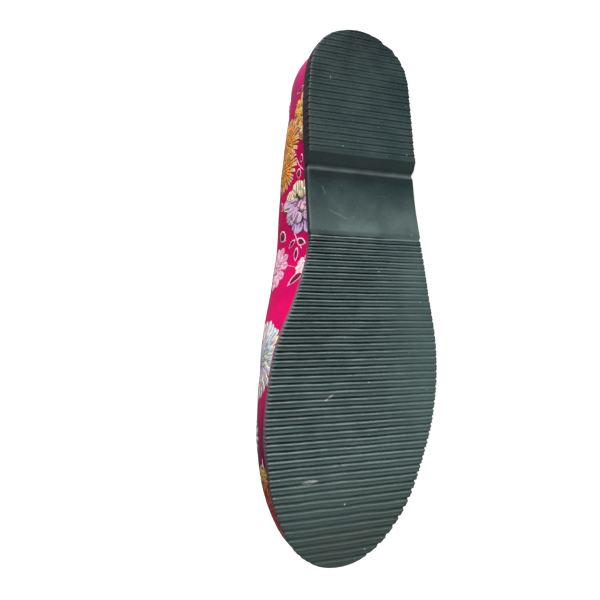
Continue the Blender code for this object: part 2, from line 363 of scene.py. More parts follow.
# Chips in the heel's outer back edge: where along the shoe, half length and depth.
CHIPS = ((4.6, 1.3, 1.6), (9.5, 1.0, 0.7), (14.5, 1.2, 0.5), (21.0, 1.0, 0.3))
OUTER_NOTCH, INNER_NOTCH = 1.15, 0.8    # how far a full groove cuts into each side's edge
TOOTH = 0.45            # how far the ribs' ends stand out beside the toe, in millimetres
TOE_TAPER = 0.9         # how far the inner wall leans in under the toe of the upper, in millimetres
LIP, LIP_REACH = 0.28, 0.9      # how far the edge is rounded up, and from how far in
NOTCH_REACH = 0.5       # how far in from the edge a notch is felt
SWAY = 0.16             # how far a row wanders along the shoe, and as much again at the toe
UNEVEN, DEEPEST = 0.35, 1.15    # how much a groove's depth varies, and its most as a share
PITS = 0.05             # roughness of the moulded rubber
BULGE = 0.25            # of the side walls
SLIM = 20.0             # a section narrower than this has less bulge and smaller notches


def notch_of(depth, side):
    """How far a groove cuts into the sole's edge: side is 1 outside, -1 inside."""
    return (OUTER_NOTCH if side > 0 else INNER_NOTCH) * (max(depth, 0.0) / GROOVE) ** 0.6


def nicked_edges(y):
    """Inner and outer x of the edge, with its chips."""
    inner, outer = edges_at(y)
    return inner, outer - sum(deep * math.exp(-((y - at) / half) ** 2) for at, half, deep in CHIPS)


# %% One point of the tread, and one section round the sole
def tread_point(share, y, depth):
    """Place of a tread vertex, and its groove depth as worn."""
    inner, outer = nicked_edges(y)
    side = 1 if share > 0 else -1
    x = inner + (outer - inner) * (share + 1) / 2
    sway = (SWAY + SWAY * ease(180, 230, y)) * noise.noise(Vector((x / 14, y / 9, 3.1)))
    uneven = 1 + UNEVEN * noise.noise(Vector((x / 6, y / 3.4, 8.7)))
    worn = depth * (1 - rub(x, y)) * min(uneven, DEEPEST)
    from_edge = (1 - abs(share)) * (outer - inner) / 2
    lift = LIP * max(1 - from_edge / LIP_REACH, 0.0) ** 2
    tooth = 0.10 + (TOOTH * ease(178, 198, y) * (1 - ease(228, 242, y)) if side > 0 else 0.0)
    pull = (notch_of(worn, side) - tooth) * math.exp(-from_edge / NOTCH_REACH) * side
    if y in (ROWS[0][0], ROWS[-1][0]):
        pull = 0.0
    along = y + (sway if 1.5 < y < SOLE_LENGTH - 2 else 0.0)
    pits = PITS * noise.noise(Vector((x / 1.3, y / 1.3, 1.9)))
    return (x - pull, along, underside_at(y) + worn + lift + pits), worn


def section(y, depth):
    """Points round one section of the outsole, with their groove depths."""
    made = [tread_point(share, y, depth) for share in under_shares]
    inner, outer = nicked_edges(y)
    low, high = underside_at(y), topside_at(y)
    width = outer - inner
    broad = min(width / SLIM, 1.0)
    bulge = BULGE * broad
    at_toe = ease(198, 222, y)
    for edge, side, shares in ((outer, 1, WALL_SHARES), (inner, -1, WALL_SHARES[::-1])):
        if side < 0:
            made += [((inner + width * (1 - share), y, high), 0.0) for share in TOP_SHARES]
        for share in shares:
            notch = notch_of(depth, side) * max(1 - share / (0.6 + 0.8 * at_toe), 0) * broad
            lean = TOE_TAPER * share * at_toe if side < 0 else 0.0
            out = bulge * math.sin(math.pi * share) - notch - lean
            made.append(((edge + side * out, y, low + (high - low) * share + 0.15 * (1 - share)), notch))
    return made


# %% Lay the grid over the sole and close it
sections = [section(y, depth) for y, depth, _ in ROWS]
COLUMNS = len(sections[0]) + 1
outsole, order = grid("rubber_outsole", COLUMNS, len(ROWS))
spots = np.zeros((COLUMNS * len(ROWS), 3))
baked = {name: np.zeros(COLUMNS * len(ROWS), np.float32) for name in ("groove", "side_wall", "rubbed")}
for row, made, (_, _, rubbed) in zip(order, sections, ROWS):
    for column, (vertex, (point, depth)) in enumerate(zip(row, made + made[:1])):
        x, y, _ = spots[vertex] = point
        under = column < len(under_shares)
        baked["groove"][vertex] = depth
        baked["side_wall"][vertex] = (not under and column < COLUMNS - 1) * (1 - 0.85 * ease(205, 228, y))
        # Painted highlight on the ribs' shoulders, weaker on the outer side and at the toe.
        kept = (1 - 0.6 * ease(-12, 24, x)) * (1 - 0.6 * ease(205, 232, y))
        baked["rubbed"][vertex] = under * rubbed * kept
for end, row in ((0, order[0]), (-1, order[-1])):
    y = ROWS[end][0]
    middle = sum(edges_at(y)) / 2
    spots[row, 0] = middle
    spots[row, 2] = spots[row, 2].clip(underside_at(y) + 0.5, topside_at(y))
place(outsole, spots)
for name, values in baked.items():
    outsole.data.attributes.new(name, "FLOAT", "POINT").data.foreach_set("value", values)
edit(outsole,
     lambda: bpy.ops.mesh.remove_doubles(threshold=0.00002),
     lambda: bpy.ops.mesh.normals_make_consistent(inside=False))
smooth(outsole, 50)
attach(outsole, "root")
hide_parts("outsole")
print("outsole triangles", triangles(outsole))


# %% [markdown]
# ## Upper
#
# The upper is satin brocade over a thin stiffener, lined with cotton. On the last it is
# pulled down all round and cemented under, so it stands a little proud of the sole's edge,
# with small gathers round the toe and the heel, and soft folds where the foot bends.
#
# The frame's upper is a closed shell. Its outer skin alone is kept: the shell is split along
# its sharp rims, and the largest part is the skin. It is smoothed by subdivision, the folds
# are pressed in by moving its vertices, and then it gets its real wall with Solidify.

# %% Take the outer skin of the frame's upper
WALL = 1.5              # millimetres of brocade, stiffener and lining together


def area_of(piece):
    return sum(face.area for face in piece.data.polygons)


def keep_largest(piece):
    """Split a shell along its sharp rims and keep the part with the largest area."""
    def split():
        bpy.ops.mesh.select_all(action="DESELECT")
        bpy.ops.mesh.edges_select_sharp(sharpness=math.radians(55))
        bpy.ops.mesh.edge_split(type="EDGE")
        bpy.ops.mesh.select_all(action="SELECT")
        bpy.ops.mesh.separate(type="LOOSE")
    edit(piece, split)
    parts = sorted(bpy.context.selected_objects, key=area_of)
    for part in parts[:-1]:
        bpy.data.objects.remove(part)
    return parts[-1]


upper = keep_largest(copy_of("upper", "brocade_upper"))
upper.name = upper.data.name = "brocade_upper"
modify(upper, "SUBSURF", levels=2, render_levels=2)
print("skin faces", len(upper.data.polygons), "area, cm2", round(area_of(upper) * 1e4))

# %% Press in the folds and the gathers
# One row for each crease: its middle on the skin, the way it runs, its half length, its
# half width and how deep it is, in millimetres. A negative depth is a ridge.
CREASES = (
    ((-44, 168, 24), (0.3, 0.35, 1.0), 16, 5.0, 0.55),
    ((-40, 177, 28), (0.5, 0.30, 1.0), 15, 4.5, -0.40),
    ((-30, 186, 32), (1.0, 0.10, 0.4), 18, 5.0, 0.50),
    ((28, 158, 26), (-0.3, 0.45, 1.0), 15, 5.0, 0.60),
    ((24, 168, 28), (-0.4, 0.40, 1.0), 14, 4.5, -0.40),
    ((4, 186, 33), (1.0, -0.15, 0.0), 20, 5.5, 0.45),
    ((-29, 96, 32), (0.0, 1.00, 0.2), 22, 5.0, 0.50),
    ((27, 90, 33), (0.0, 1.00, 0.1), 24, 5.0, 0.50),
    ((-22, 24, 40), (0.2, 0.60, 1.0), 12, 5.0, 0.35),
    ((-20, 25, 46), (0.0, -0.30, 1.0), 26, 12.0, 2.40),
    ((25, 26, 38), (0.2, 0.70, 1.0), 12, 5.0, 0.40),
)
GATHER_DEPTH = 0.22     # of the small pleats where the skin turns under
GATHER_HEIGHT = 7.0
GATHER_PITCH = 5.2
GATHER_MIDDLE = (-10, 112)      # x and y of the point that the pleats stand round
GATHER_RADIUS = 112
UNEVENNESS = 0.10       # of the cloth over the stiffener


def sunk(points):
    """How far the creases move each point in, in millimetres."""
    total = np.zeros(len(points))
    for middle, runs, half_length, half_width, depth in CREASES:
        away = points - np.array(middle, float)
        along = np.array(runs, float) / np.linalg.norm(runs)
        lengthwise = away @ along
        sideways = np.linalg.norm(away - lengthwise[:, None] * along, axis=1)
        total += depth * np.exp(-(lengthwise / half_length) ** 2 - (sideways / half_width) ** 2)
    return total


def press(points, normals):
    """Move skin points in along their normals by the creases and the gathers."""
    moved = -sunk(points)
    for k, (x, y, z) in enumerate(points):
        up_wall = max(z - topside_at(y), 0.0)
        round_end = max(ease(190, 225, y), 1 - ease(10, 34, y))
        if up_wall < 3 * GATHER_HEIGHT and round_end > 0:
            turn = math.atan2(x - GATHER_MIDDLE[0], abs(y - GATHER_MIDDLE[1])) * GATHER_RADIUS
            pleat = math.sin(turn / GATHER_PITCH + 2.4 * noise.noise(Vector((turn / 14, 0.3, 0.7))))
            moved[k] += GATHER_DEPTH * round_end * pleat * math.exp(-(up_wall / GATHER_HEIGHT) ** 2)
        moved[k] += UNEVENNESS * noise.noise(Vector((x / 13, y / 13, z / 13)))
    return points + normals * moved[:, None]


def normals_of(piece):
    """Vertex normals in the shoe's directions."""
    flat = np.zeros(len(piece.data.vertices) * 3)
    piece.data.vertex_normals.foreach_get("vector", flat)
    return flat.reshape(-1, 3) @ AXES


edit(upper, lambda: bpy.ops.mesh.normals_make_consistent(inside=False))
skin = points_of(upper)
skin_normals = normals_of(upper)
if ((skin - skin.mean(0)) * skin_normals).sum() < 0:
    edit(upper, bpy.ops.mesh.flip_normals)
    skin_normals = normals_of(upper)
place(upper, press(skin, skin_normals))
print("pressed creases", len(CREASES))

# %% Cloth measures on the skin
# The weave has to follow the cloth, so the skin gets a UV map in millimetres: round the
# shoe one way and up the wall the other way. The turn about a point inside the shoe gives
# the first, and the height gives the second, lengthened a little because the wall slants.
ROUND_MIDDLE = (-8, 100)        # x and y of the point inside the shoe
ROUND_RADIUS = 85
WALL_SLANT = 1.25


def unroll(piece, name):
    """UV map of a skin: one side round the shoe and one up the wall, in millimetres."""
    at = points_of(piece)
    layer = piece.data.uv_layers.new(name=name)
    around = np.arctan2(at[:, 0] - ROUND_MIDDLE[0], at[:, 1] - ROUND_MIDDLE[1]) * ROUND_RADIUS
    half_turn = math.pi * ROUND_RADIUS
    values = np.zeros((len(piece.data.loops), 2))
    for face in piece.data.polygons:
        turns = around[list(face.vertices)]
        if turns.max() - turns.min() > half_turn:
            turns = np.where(turns < 0, turns + 2 * half_turn, turns)
        for loop, vertex, turn in zip(face.loop_indices, face.vertices, turns):
            values[loop] = (turn, at[vertex, 2] * WALL_SLANT)
    layer.data.foreach_set("uv", values.ravel())


unroll(upper, "cloth")
print("mapped faces", len(upper.data.polygons))

# %% Keep the skin's surface for the embroidery, and give the skin its wall
skin_tree = tree_of(upper)


def collar_of(piece):
    """The open rim that lies highest, as points in order round the shoe."""
    times = {}
    for face in piece.data.polygons:
        for key in face.edge_keys:
            times[key] = times.get(key, 0) + 1
    beside = {}
    for a, b in (key for key, count in times.items() if count == 1):
        beside.setdefault(a, []).append(b)
        beside.setdefault(b, []).append(a)
    at, loops = points_of(piece), []
    while beside:
        loop = [next(iter(beside))]
        while loop[-1] in beside:
            onward = [other for other in beside.pop(loop[-1]) if other in beside]
            if not onward:
                break
            loop.append(onward[0])
        loops.append(at[loop])
    return max(loops, key=lambda loop: loop[:, 2].mean())


collar_line = collar_of(upper)
print("collar length, mm", round(float(np.linalg.norm(np.diff(collar_line, axis=0), axis=1).sum())))
for _ in ("outside", "lining"):
    upper.data.materials.append(None)
modify(upper, "SOLIDIFY", thickness=WALL * MM, offset=-1, use_even_offset=True,
       material_offset=1, material_offset_rim=1)
smooth(upper, 50)
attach(upper, "root")
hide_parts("upper")
print("upper triangles", triangles(upper))

# %% [markdown]
# ## Collar binding
#
# A bias strip of plain satin is folded over the raw edge of the upper and sewn through. The
# frame's binding has the right fold and place, so a merged copy of it is rounded with a
# bevel on its long edges and one subdivision, and small stitches are added below it.

# %% Binding from the frame's channel
HUG = 0.5                # how much nearer to the skin than the frame's channel, millimetres
binding = copy_of("collar_binding", "satin_binding")
strip = points_of(binding)
sinking = sunk(strip)
for k, point in enumerate(strip):
    spot, out, _, _ = skin_tree.find_nearest(Vector(point))
    point = Vector(point) - out * sinking[k]
    spot, out, _, distance = skin_tree.find_nearest(point)
    side = 1 if (point - spot).dot(out) > 0 else -1
    strip[k] = point - out * side * min(HUG, 0.6 * distance)
place(binding, strip)
modify(binding, "BEVEL", width=0.25 * MM, segments=2, limit_method="ANGLE", angle_limit=math.radians(35))
modify(binding, "SUBSURF", levels=1, render_levels=1)
smooth(binding, 60)
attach(binding, "root")
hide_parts("collar_binding")
print("binding triangles", triangles(binding))

# %% [markdown]
# The binding is held by one row of small machine stitches. A stitch is a short capsule of
# thread. One is modelled from a sphere, and its mesh is laid again and again along the
# collar, each time turned to the binding's own surface, and all are joined in one piece.

# %% Collar stitches
STITCH_PITCH, STITCH_LENGTH, STITCH_WIDTH = 3.4, 2.3, 0.38      # millimetres
STITCH_DOWN = 1.3                                               # below the collar's edge

bpy.ops.object.select_all(action="DESELECT")
bpy.ops.mesh.primitive_uv_sphere_add(segments=8, ring_count=5, radius=1)
pattern = bpy.context.object
stitch_points = np.array([vertex.co for vertex in pattern.data.vertices])
stitch_faces = [tuple(face.vertices) for face in pattern.data.polygons]
bpy.data.objects.remove(pattern)

binding_tree = tree_of(binding)
steps = np.linalg.norm(np.diff(collar_line, axis=0), axis=1)
travel = np.concatenate([[0], np.cumsum(steps)])
stitched, stitched_faces = [], []
for at in np.arange(STITCH_PITCH, travel[-1] - STITCH_PITCH, STITCH_PITCH):
    here = Vector([float(np.interp(at, travel, collar_line[:, k])) for k in range(3)])
    ahead = Vector([float(np.interp(at + 1.5, travel, collar_line[:, k])) for k in range(3)])
    _, out, _, _ = skin_tree.find_nearest(here)
    along = (ahead - here).normalized()
    down = along.cross(out).normalized()
    if down.z > 0:
        down = -down
    spot, out, _, _ = binding_tree.find_nearest(here + down * STITCH_DOWN + out * 2.5)
    along = (along - out * along.dot(out)).normalized()
    turn = Matrix((along, out.cross(along), out)).transposed()
    start = len(stitched)
    for point in stitch_points * (STITCH_LENGTH / 2, STITCH_WIDTH / 2, STITCH_WIDTH / 2):
        stitched.append(spot + turn @ Vector(point))
    stitched_faces += [tuple(start + k for k in face) for face in stitch_faces]
stitches = mesh_piece("collar_stitches", stitched, stitched_faces)
smooth(stitches, 60)
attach(stitches, "root")
print("stitches", len(stitched_faces) // len(stitch_faces), "triangles", triangles(stitches))

# %% [markdown]
# ## Insole
#
# The sock is a thin foam pad covered in woven cotton. It fills the inside from wall to wall
# and has a soft rolled edge. The frame's slab is copied, its edges are bevelled round, and
# its top is dished a little under the heel, the ball and the toes, as a worn one is.

# %% Padded sock
insole = copy_of("insole", "cotton_insole")
modify(insole, "BEVEL", width=0.8 * MM, segments=3, limit_method="ANGLE", angle_limit=math.radians(40))
modify(insole, "SUBSURF", levels=2, render_levels=2, subdivision_type="SIMPLE")
# One row for each dish: its middle x and y, its half width and half length, and its depth.
DISHES = ((0, 26, 15, 20, 0.55), (-20, 178, 24, 26, 0.45), (-24, 226, 16, 14, 0.30))
pad = points_of(insole)
pad_normals = normals_of(insole)
for x, y, half_width, half_length, depth in DISHES:
    near = np.exp(-((pad[:, 0] - x) / half_width) ** 2 - ((pad[:, 1] - y) / half_length) ** 2)
    pad[:, 2] -= depth * near * (pad_normals[:, 2] > 0.6)
place(insole, pad)
smooth(insole, 50)
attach(insole, "root")
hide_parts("insole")
print("insole triangles", triangles(insole))


# %% [markdown]
# ## Embroidered flowers
#
# Brocade of this kind carries chrysanthemums, peonies, small blossoms, leaves and sprigs in
# floss silk. Each petal is a patch of long threads with a finer outline, and it stands about
# a tenth of a millimetre proud of the satin.
#
# They could be a bump map, but then their edges would not catch the light. Here one petal is
# modelled once: a small grid, closed underneath. Every flower is charted flat, as a list of
# petals, in the way an embroiderer pricks a pattern. Each petal is then a copy of the first,
# walked out over the curved skin from the flower's middle.

# %% One petal
ACROSS = (-1.0, -0.87, -0.75, -0.5, 0.0, 0.5, 0.75, 0.87, 1.0)     # shares of the half width
ALONG = (0.0, 0.18, 0.42, 0.68, 0.88, 1.0)              # shares of the length
CROWN = (-0.08, 0.06, 0.08, 0.11, 0.14, 0.11, 0.08, 0.06, -0.08)   # height over the satin, millimetres
SHAPES = {              # share of the length, and of the half width there
    "thread": ((0.00, 0.30), (0.18, 0.60), (0.42, 0.88), (0.68, 1.00), (0.88, 0.86), (1.00, 0.45)),
    "ray": ((0.00, 0.40), (0.18, 0.62), (0.42, 0.84), (0.68, 1.00), (0.88, 0.92), (1.00, 0.45)),
    "round": ((0.00, 0.34), (0.18, 0.72), (0.42, 1.00), (0.68, 1.00), (0.88, 0.80), (1.00, 0.42)),
    "leaf": ((0.00, 0.12), (0.18, 0.62), (0.42, 1.00), (0.68, 0.86), (0.88, 0.44), (1.00, 0.06)),
    "stem": ((0.00, 1.00), (0.18, 0.95), (0.42, 0.90), (0.68, 0.80), (0.88, 0.70), (1.00, 0.50)),
}

petal, petal_order = grid("petal", len(ACROSS), len(ALONG))


def close_underneath():
    """A fan of faces under the petal, from its rim to one vertex in the middle."""
    bpy.ops.mesh.select_all(action="DESELECT")
    bpy.ops.mesh.select_non_manifold()
    bpy.ops.mesh.edge_face_add()
    bpy.ops.mesh.poke()


edit(petal, close_underneath)
petal_faces = [tuple(face.vertices) for face in petal.data.polygons]
SUNK = -0.08            # the foot, the tip and the underside lie this far under the satin's face
petal_spots = np.tile((0.0, 0.5, SUNK), (len(petal.data.vertices), 1))
for j, row in enumerate(petal_order):
    for i, vertex in enumerate(row):
        petal_spots[vertex] = (ACROSS[i], ALONG[j], SUNK if ALONG[j] in (0.0, 1.0) else CROWN[i])
bpy.data.objects.remove(petal)
print("petal faces", len(petal_faces))

# %% Colours of the threads, and the charting pen
IVORY, CREAM, LEMON = (0.93, 0.86, 0.72), (0.84, 0.70, 0.42), (0.92, 0.80, 0.25)
GOLD, AMBER, ORANGE = (0.62, 0.32, 0.03), (0.78, 0.20, 0.003), (0.92, 0.27, 0.004)
TAN, SIENNA, BROWN = (0.80, 0.42, 0.16), (0.30, 0.075, 0.004), (0.060, 0.022, 0.008)
VERMILION, ROSE, MAROON = (0.82, 0.045, 0.004), (0.60, 0.02, 0.12), (0.13, 0.002, 0.02)
BLUSH, PINK, LILAC = (0.86, 0.44, 0.56), (0.80, 0.16, 0.34), (0.64, 0.38, 0.60)
VIOLET, PLUM, GREIGE = (0.56, 0.32, 0.66), (0.050, 0.010, 0.060), (0.50, 0.46, 0.52)
SKY, CYAN = (0.28, 0.58, 0.84), (0.24, 0.66, 0.78)


def blend(a, b, share):
    return tuple(x + (y - x) * share for x, y in zip(a, b))


def stroke(at, heading, length, width, shape, base, tip, rim, lift=0.0, bend=0.0, dark=0.5, edge=0.8):
    """One charted petal: its foot and heading on the flat pattern, its size and its threads."""
    return {"at": at, "heading": heading, "length": length, "width": width, "shape": shape, "base": base,
            "tip": tip, "rim": rim, "lift": lift, "bend": bend, "dark": dark, "edge": edge}


def polar(radius, angle):
    return (radius * math.cos(angle), radius * math.sin(angle))


# %% Chrysanthemums on the flat pattern
# Rings of petals, from the rim in: how many, where they start and how far they reach and how
# wide they are as shares of the radius, how high they lie, and the share of the tip's colour.
OPEN_RINGS = ((44, 0.46, 0.54, 0.118, 0.0, 1.0), (32, 0.20, 0.50, 0.118, 0.08, 0.25),
              (16, 0.0, 0.38, 0.12, 0.16, 0.1))
FULL_RINGS = ((27, 0.54, 0.46, 0.200, 0.0, 1.0), (24, 0.38, 0.40, 0.185, 0.04, 0.7),
              (19, 0.25, 0.35, 0.175, 0.08, 0.7), (13, 0.12, 0.32, 0.160, 0.12, 0.7),
              (7, 0.0, 0.22, 0.15, 0.16, 0.7))


def chrysanthemum(radius, rings, colors, seed):
    """Rings of narrow petals. Colors are (heart, base, rim), then the tips in turn from the toe."""
    pick = random.Random(seed)
    heart, base, rim = colors[:3]
    tips = colors[3:]
    made = []
    for ring, (count, start, reach, width, lift, toned) in enumerate(rings):
        for k in range(count):
            angle = math.tau * (k + 0.5 * (ring % 2) + pick.uniform(-0.15, 0.15)) / count
            size = pick.uniform(0.90, 1.06)
            tone = tips[int(angle / math.tau * len(tips) + pick.uniform(-1, 1)) % len(tips)]
            if rings is FULL_RINGS:
                shape, dark, foot = "thread", 0.65, min(0.6 + start * 2, 1.0)
                line, edge = (rim, 0.75) if ring < 2 else (heart, 0.88)
            else:
                shape, dark, foot = "ray", 0.50, min(0.55 + start, 1.0)
                line, edge = heart, 0.75
                tone = tone if ring else rim
            made.append(stroke(polar(radius * start, angle), angle + pick.uniform(-0.1, 0.1),
                               radius * reach * size, radius * width, shape,
                               blend(heart, base, foot), blend(base, tone, toned),
                               line, lift, dark=dark, edge=edge))
    return made


# %% Peonies and small blossoms
PEONY_RINGS = ((10, 0.48, 0.52, 0.56, 0.0), (8, 0.24, 0.48, 0.50, 0.10), (5, 0.03, 0.40, 0.42, 0.20))
BLOSSOM_RINGS = ((12, 0.46, 0.54, 0.44, 0.0), (9, 0.20, 0.50, 0.42, 0.09), (5, 0.0, 0.32, 0.34, 0.18))


def peony(radius, near, far, rims, seed):
    """Broad ruffled petals: near colour on one side of the flower and far colour on the other."""
    pick = random.Random(seed)
    made = []
    for count, start, reach, width, lift in PEONY_RINGS:
        for k in range(count):
            angle = math.tau * (k + pick.uniform(-0.12, 0.12) + lift * 6) / count
            heelward = math.cos(angle) < 0.05
            color, rim = (near, rims[0]) if heelward else (far, rims[1])
            made.append(stroke(polar(radius * start, angle), angle + pick.uniform(-0.2, 0.2),
                               radius * reach * pick.uniform(0.92, 1.08), radius * width, "round",
                               blend(color, CREAM, 0.25), color, rim, lift,
                               bend=pick.uniform(-0.08, 0.08), dark=0.7))
    return made


def ruffle(at, heading, length, width, color, rim, lift):
    """One broad petal, given with its heading in degrees."""
    return stroke(at, math.radians(heading), length, width, "round",
                  color, blend(color, (1, 1, 1), 0.35), rim, lift, dark=0.75, edge=0.85)


def blossom(radius, color, pale, rim, seed):
    """A small full flower: three rings of round petals, mottled pale."""
    pick = random.Random(seed)
    made = []
    for count, start, reach, width, lift in BLOSSOM_RINGS:
        for k in range(count):
            angle = math.tau * (k + pick.uniform(-0.15, 0.15) + lift * 8) / count
            made.append(stroke(polar(radius * start, angle), angle, radius * reach * pick.uniform(0.9, 1.08),
                               radius * width, "round", blend(color, pale, pick.uniform(0.1, 0.5)),
                               blend(pale, color, pick.uniform(0.0, 0.4)), rim, lift, dark=0.55))
    return made


# %% Leaves, stems and sprigs
LEAF_RIM = (0.90, 0.40, 0.56)
LEAF_BEND = 0.06                        # sideways, as a share of the length
HEART_FOOT = 0.10                       # where a leaf's dark heart starts, as a share of the leaf
HEART_LENGTH, HEART_WIDTH = 0.79, 0.76  # of the leaf's own
MID_RIB_LENGTH, MID_RIB_WIDTH = 0.62, 0.30      # share of the leaf, and millimetres


def leaf(at, heading, length, width):
    """A pale outline round a dark heart, with a mid rib."""
    turn, pale, dark = math.radians(heading), (LEAF_RIM,) * 3, (MAROON,) * 3
    foot = (at[0] + HEART_FOOT * length * math.cos(turn), at[1] + HEART_FOOT * length * math.sin(turn))
    return [
        stroke(at, turn, length, width, "leaf", *pale, 0.0, LEAF_BEND, 0.0),
        stroke(foot, turn, length * HEART_LENGTH, width * HEART_WIDTH, "leaf", *dark, 0.06, LEAF_BEND, 0.8),
        stroke(foot, turn, length * MID_RIB_LENGTH, MID_RIB_WIDTH, "stem", *pale, 0.10, LEAF_BEND, 0.0),
    ]


def stem(at, heading, length, bend=0.0, width=0.5):
    return [stroke(at, math.radians(heading), length, width, "stem", *(BLUSH,) * 3, 0.0, bend, 0.0)]


SPRIG_LEAVES = (        # foot along and beside the stem, heading in degrees, length
    (-0.10, 0.02, 62, 0.42), (0.05, -0.02, -68, 0.44), (0.22, 0.02, 48, 0.40),
    (0.30, -0.016, -50, 0.46), (0.48, 0.0, -6, 0.44),
)


def sprig(size, turn=0.0):
    """A stem with five leaves."""
    parts = stem((-0.50 * size, 0.05 * size), -8, size, 0.05)
    for along, beside, heading, length in SPRIG_LEAVES:
        parts += leaf((along * size, beside * size), heading, length * size, 0.17 * size)
    for part in parts:
        x, y = part["at"]
        part["at"] = (x * math.cos(turn) - y * math.sin(turn), x * math.sin(turn) + y * math.cos(turn))
        part["heading"] += turn
    return parts


# %% Walking a flat pattern out over the skin
FAR = 300.0             # a ray starts this far outside the shoe
SIDES = {                # ray that finds the middle, then the pattern's first and second axes
    "inner": ((1, 0, 0), (0, 1, 0), (0, 0, 1)),
    "outer": ((-1, 0, 0), (0, 1, 0), (0, 0, 1)),
    "top": ((0, 0, -1), (0, 1, 0), (1, 0, 0)),
    "back": ((0, 1, 0), (0, 0, 1), (1, 0, 0)),
}
STEP = 2.0              # millimetres walked before the next look at the skin
OFF_EDGE = 0.25         # a step that lands this far aside has run off the skin
LOST = 0.7              # a petal with this share of its points off the skin is left out


def middle_on(side, a, b):
    """Point of the skin, seen straight from a side: (y, z), (x, y) or (x, z) in millimetres."""
    ray = Vector(SIDES[side][0])
    start = Vector({"top": (a, b, 0), "back": (a, 0, b)}.get(side, (0, a, b)))
    spot, normal, _, _ = skin_tree.ray_cast(start - ray * FAR, ray)
    if spot is None:
        spot, normal, _, _ = skin_tree.find_nearest(start)
    return spot, normal


def on_plane(vector, normal):
    return (vector - normal * vector.dot(normal)).normalized()


def walk(spot, normal, first, second, u, v):
    """Skin point and normal at (u, v) millimetres from a middle, and whether it ran off the edge."""
    distance = math.hypot(u, v)
    if distance < 1e-6:
        return spot, normal, False
    ahead = (first * u + second * v).normalized()
    count = max(int(math.ceil(distance / STEP)), 1)
    for _ in range(count):
        wanted = spot + ahead * (distance / count)
        spot, normal, _, _ = skin_tree.find_nearest(wanted)
        off = wanted - spot
        if (off - normal * off.dot(normal)).length > OFF_EDGE:
            return spot, normal, True
        ahead = on_plane(ahead, normal)
    return spot, normal, False


# %% Outline of one petal on the flat pattern
BOW = 0.10              # how far a petal's sides lag behind its middle at the tip, as a share of its length
SCALLOP = 0.035         # how deep the tip of a round petal is scalloped, as a share of its length


def petal_flat(petal_row, share, along):
    """Flat place of a petal vertex, and its thread measures."""
    length = petal_row["length"]
    shape = SHAPES[petal_row["shape"]]
    half = petal_row["width"] / 2 * float(np.interp(along, *zip(*shape)))
    run = length * (along - (BOW * share * share * along ** 3 if petal_row["shape"] != "stem" else 0.0))
    if petal_row["shape"] == "round" and along > 0.8:
        run += SCALLOP * length * math.cos(math.tau * 2 * share)
    sideways = share * half + petal_row["bend"] * length * math.sin(math.pi * along)
    c, s = math.cos(petal_row["heading"]), math.sin(petal_row["heading"])
    x, y = petal_row["at"]
    return x + run * c - sideways * s, y + run * s + sideways * c, share * half, run


# %% Draping the petals, and making them one piece
THREAD_SHIFT = 31.7     # moves the threads on from face to face, so that no two petals look alike
PRESSED = 0.1           # most height of a point that has run off the skin
FATTEST = 0.5           # most height of a lifted petal, as a share of its width


class Piece:
    """Gathers draped petals until they are made one mesh."""
    def __init__(self):
        self.points, self.faces, self.tints, self.threads = [], [], [], []

    def drape(self, side, at, petals, turn=0.0):
        spot, normal = middle_on(side, *at)
        first = on_plane(Vector(SIDES[side][1]), normal)
        second = Vector(SIDES[side][2])
        second = on_plane(second - first * second.dot(first), normal)
        c, s = math.cos(turn), math.sin(turn)
        for petal_row in petals:
            points, tints, threads, off = [], [], [], 0
            for share, along, height in petal_spots:
                u, v, across, run = petal_flat(petal_row, share, along)
                place_at, out, ran_off = walk(spot, normal, first, second, c * u - s * v, s * u + c * v)
                off += ran_off
                edge = petal_row["edge"]
                rim = abs(share) >= edge or (petal_row["shape"] != "ray" and along >= 0.6 + 0.4 * edge)
                if along not in (0.0, 0.5, 1.0):
                    height = min(height + petal_row["lift"], FATTEST * petal_row["width"])
                points.append(place_at + out * (min(height, PRESSED) if ran_off else height))
                color = petal_row["rim"] if rim else blend(petal_row["base"], petal_row["tip"], along ** 2)
                tints.append((*color, 1.0 if rim else 1.0 - petal_row["dark"]))
                threads.append((across, run + THREAD_SHIFT * len(self.faces)))
            if off > LOST * len(points):
                continue
            start = len(self.points)
            self.points += points
            self.tints += tints
            self.threads += threads
            self.faces += [tuple(start + k for k in face) for face in petal_faces]

    def finish(self, name):
        piece = mesh_piece(name, self.points, self.faces)
        mesh = piece.data
        mesh.attributes.new("tint", "FLOAT_COLOR", "POINT").data.foreach_set("color", np.ravel(self.tints))
        layer = mesh.uv_layers.new(name="threads")
        corners = np.zeros(len(mesh.loops), int)
        mesh.loops.foreach_get("vertex_index", corners)
        layer.data.foreach_set("uv", np.array(self.threads)[corners].ravel())
        edit(piece,
             lambda: bpy.ops.mesh.dissolve_degenerate(threshold=0.00001),
             lambda: bpy.ops.mesh.fill_holes(sides=6),
             lambda: bpy.ops.mesh.normals_make_consistent(inside=False))
        smooth(piece, 80)
        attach(piece, "root")
        print(name, "triangles", triangles(piece))
        return piece


# %% Lay out the chrysanthemums
# Heel to toe on the inner side, then the outer side, the top of the vamp and the heel. A row
# has the side, the middle in millimetres, the charted petals, and a turn where there is one.
def embroider(name, rows):
    piece = Piece()
    for row in rows:
        piece.drape(*row)
    return piece.finish(name)


ORANGE_MUM = (SIENNA, (0.97, 0.34, 0.004), CREAM, (0.98, 0.56, 0.07))
RAINBOW_MUM = ((0.20, 0.18, 0.26), GREIGE, (0.78, 0.70, 0.54), (0.86, 0.30, 0.20), PINK, TAN, ORANGE,
               TAN, CREAM, LILAC, GREIGE, CYAN, SKY, LEMON, CYAN, LILAC, SKY)
SUNSET_MUM = (MAROON, VERMILION, (0.95, 0.26, 0.03), VERMILION, VERMILION, ORANGE, VERMILION)

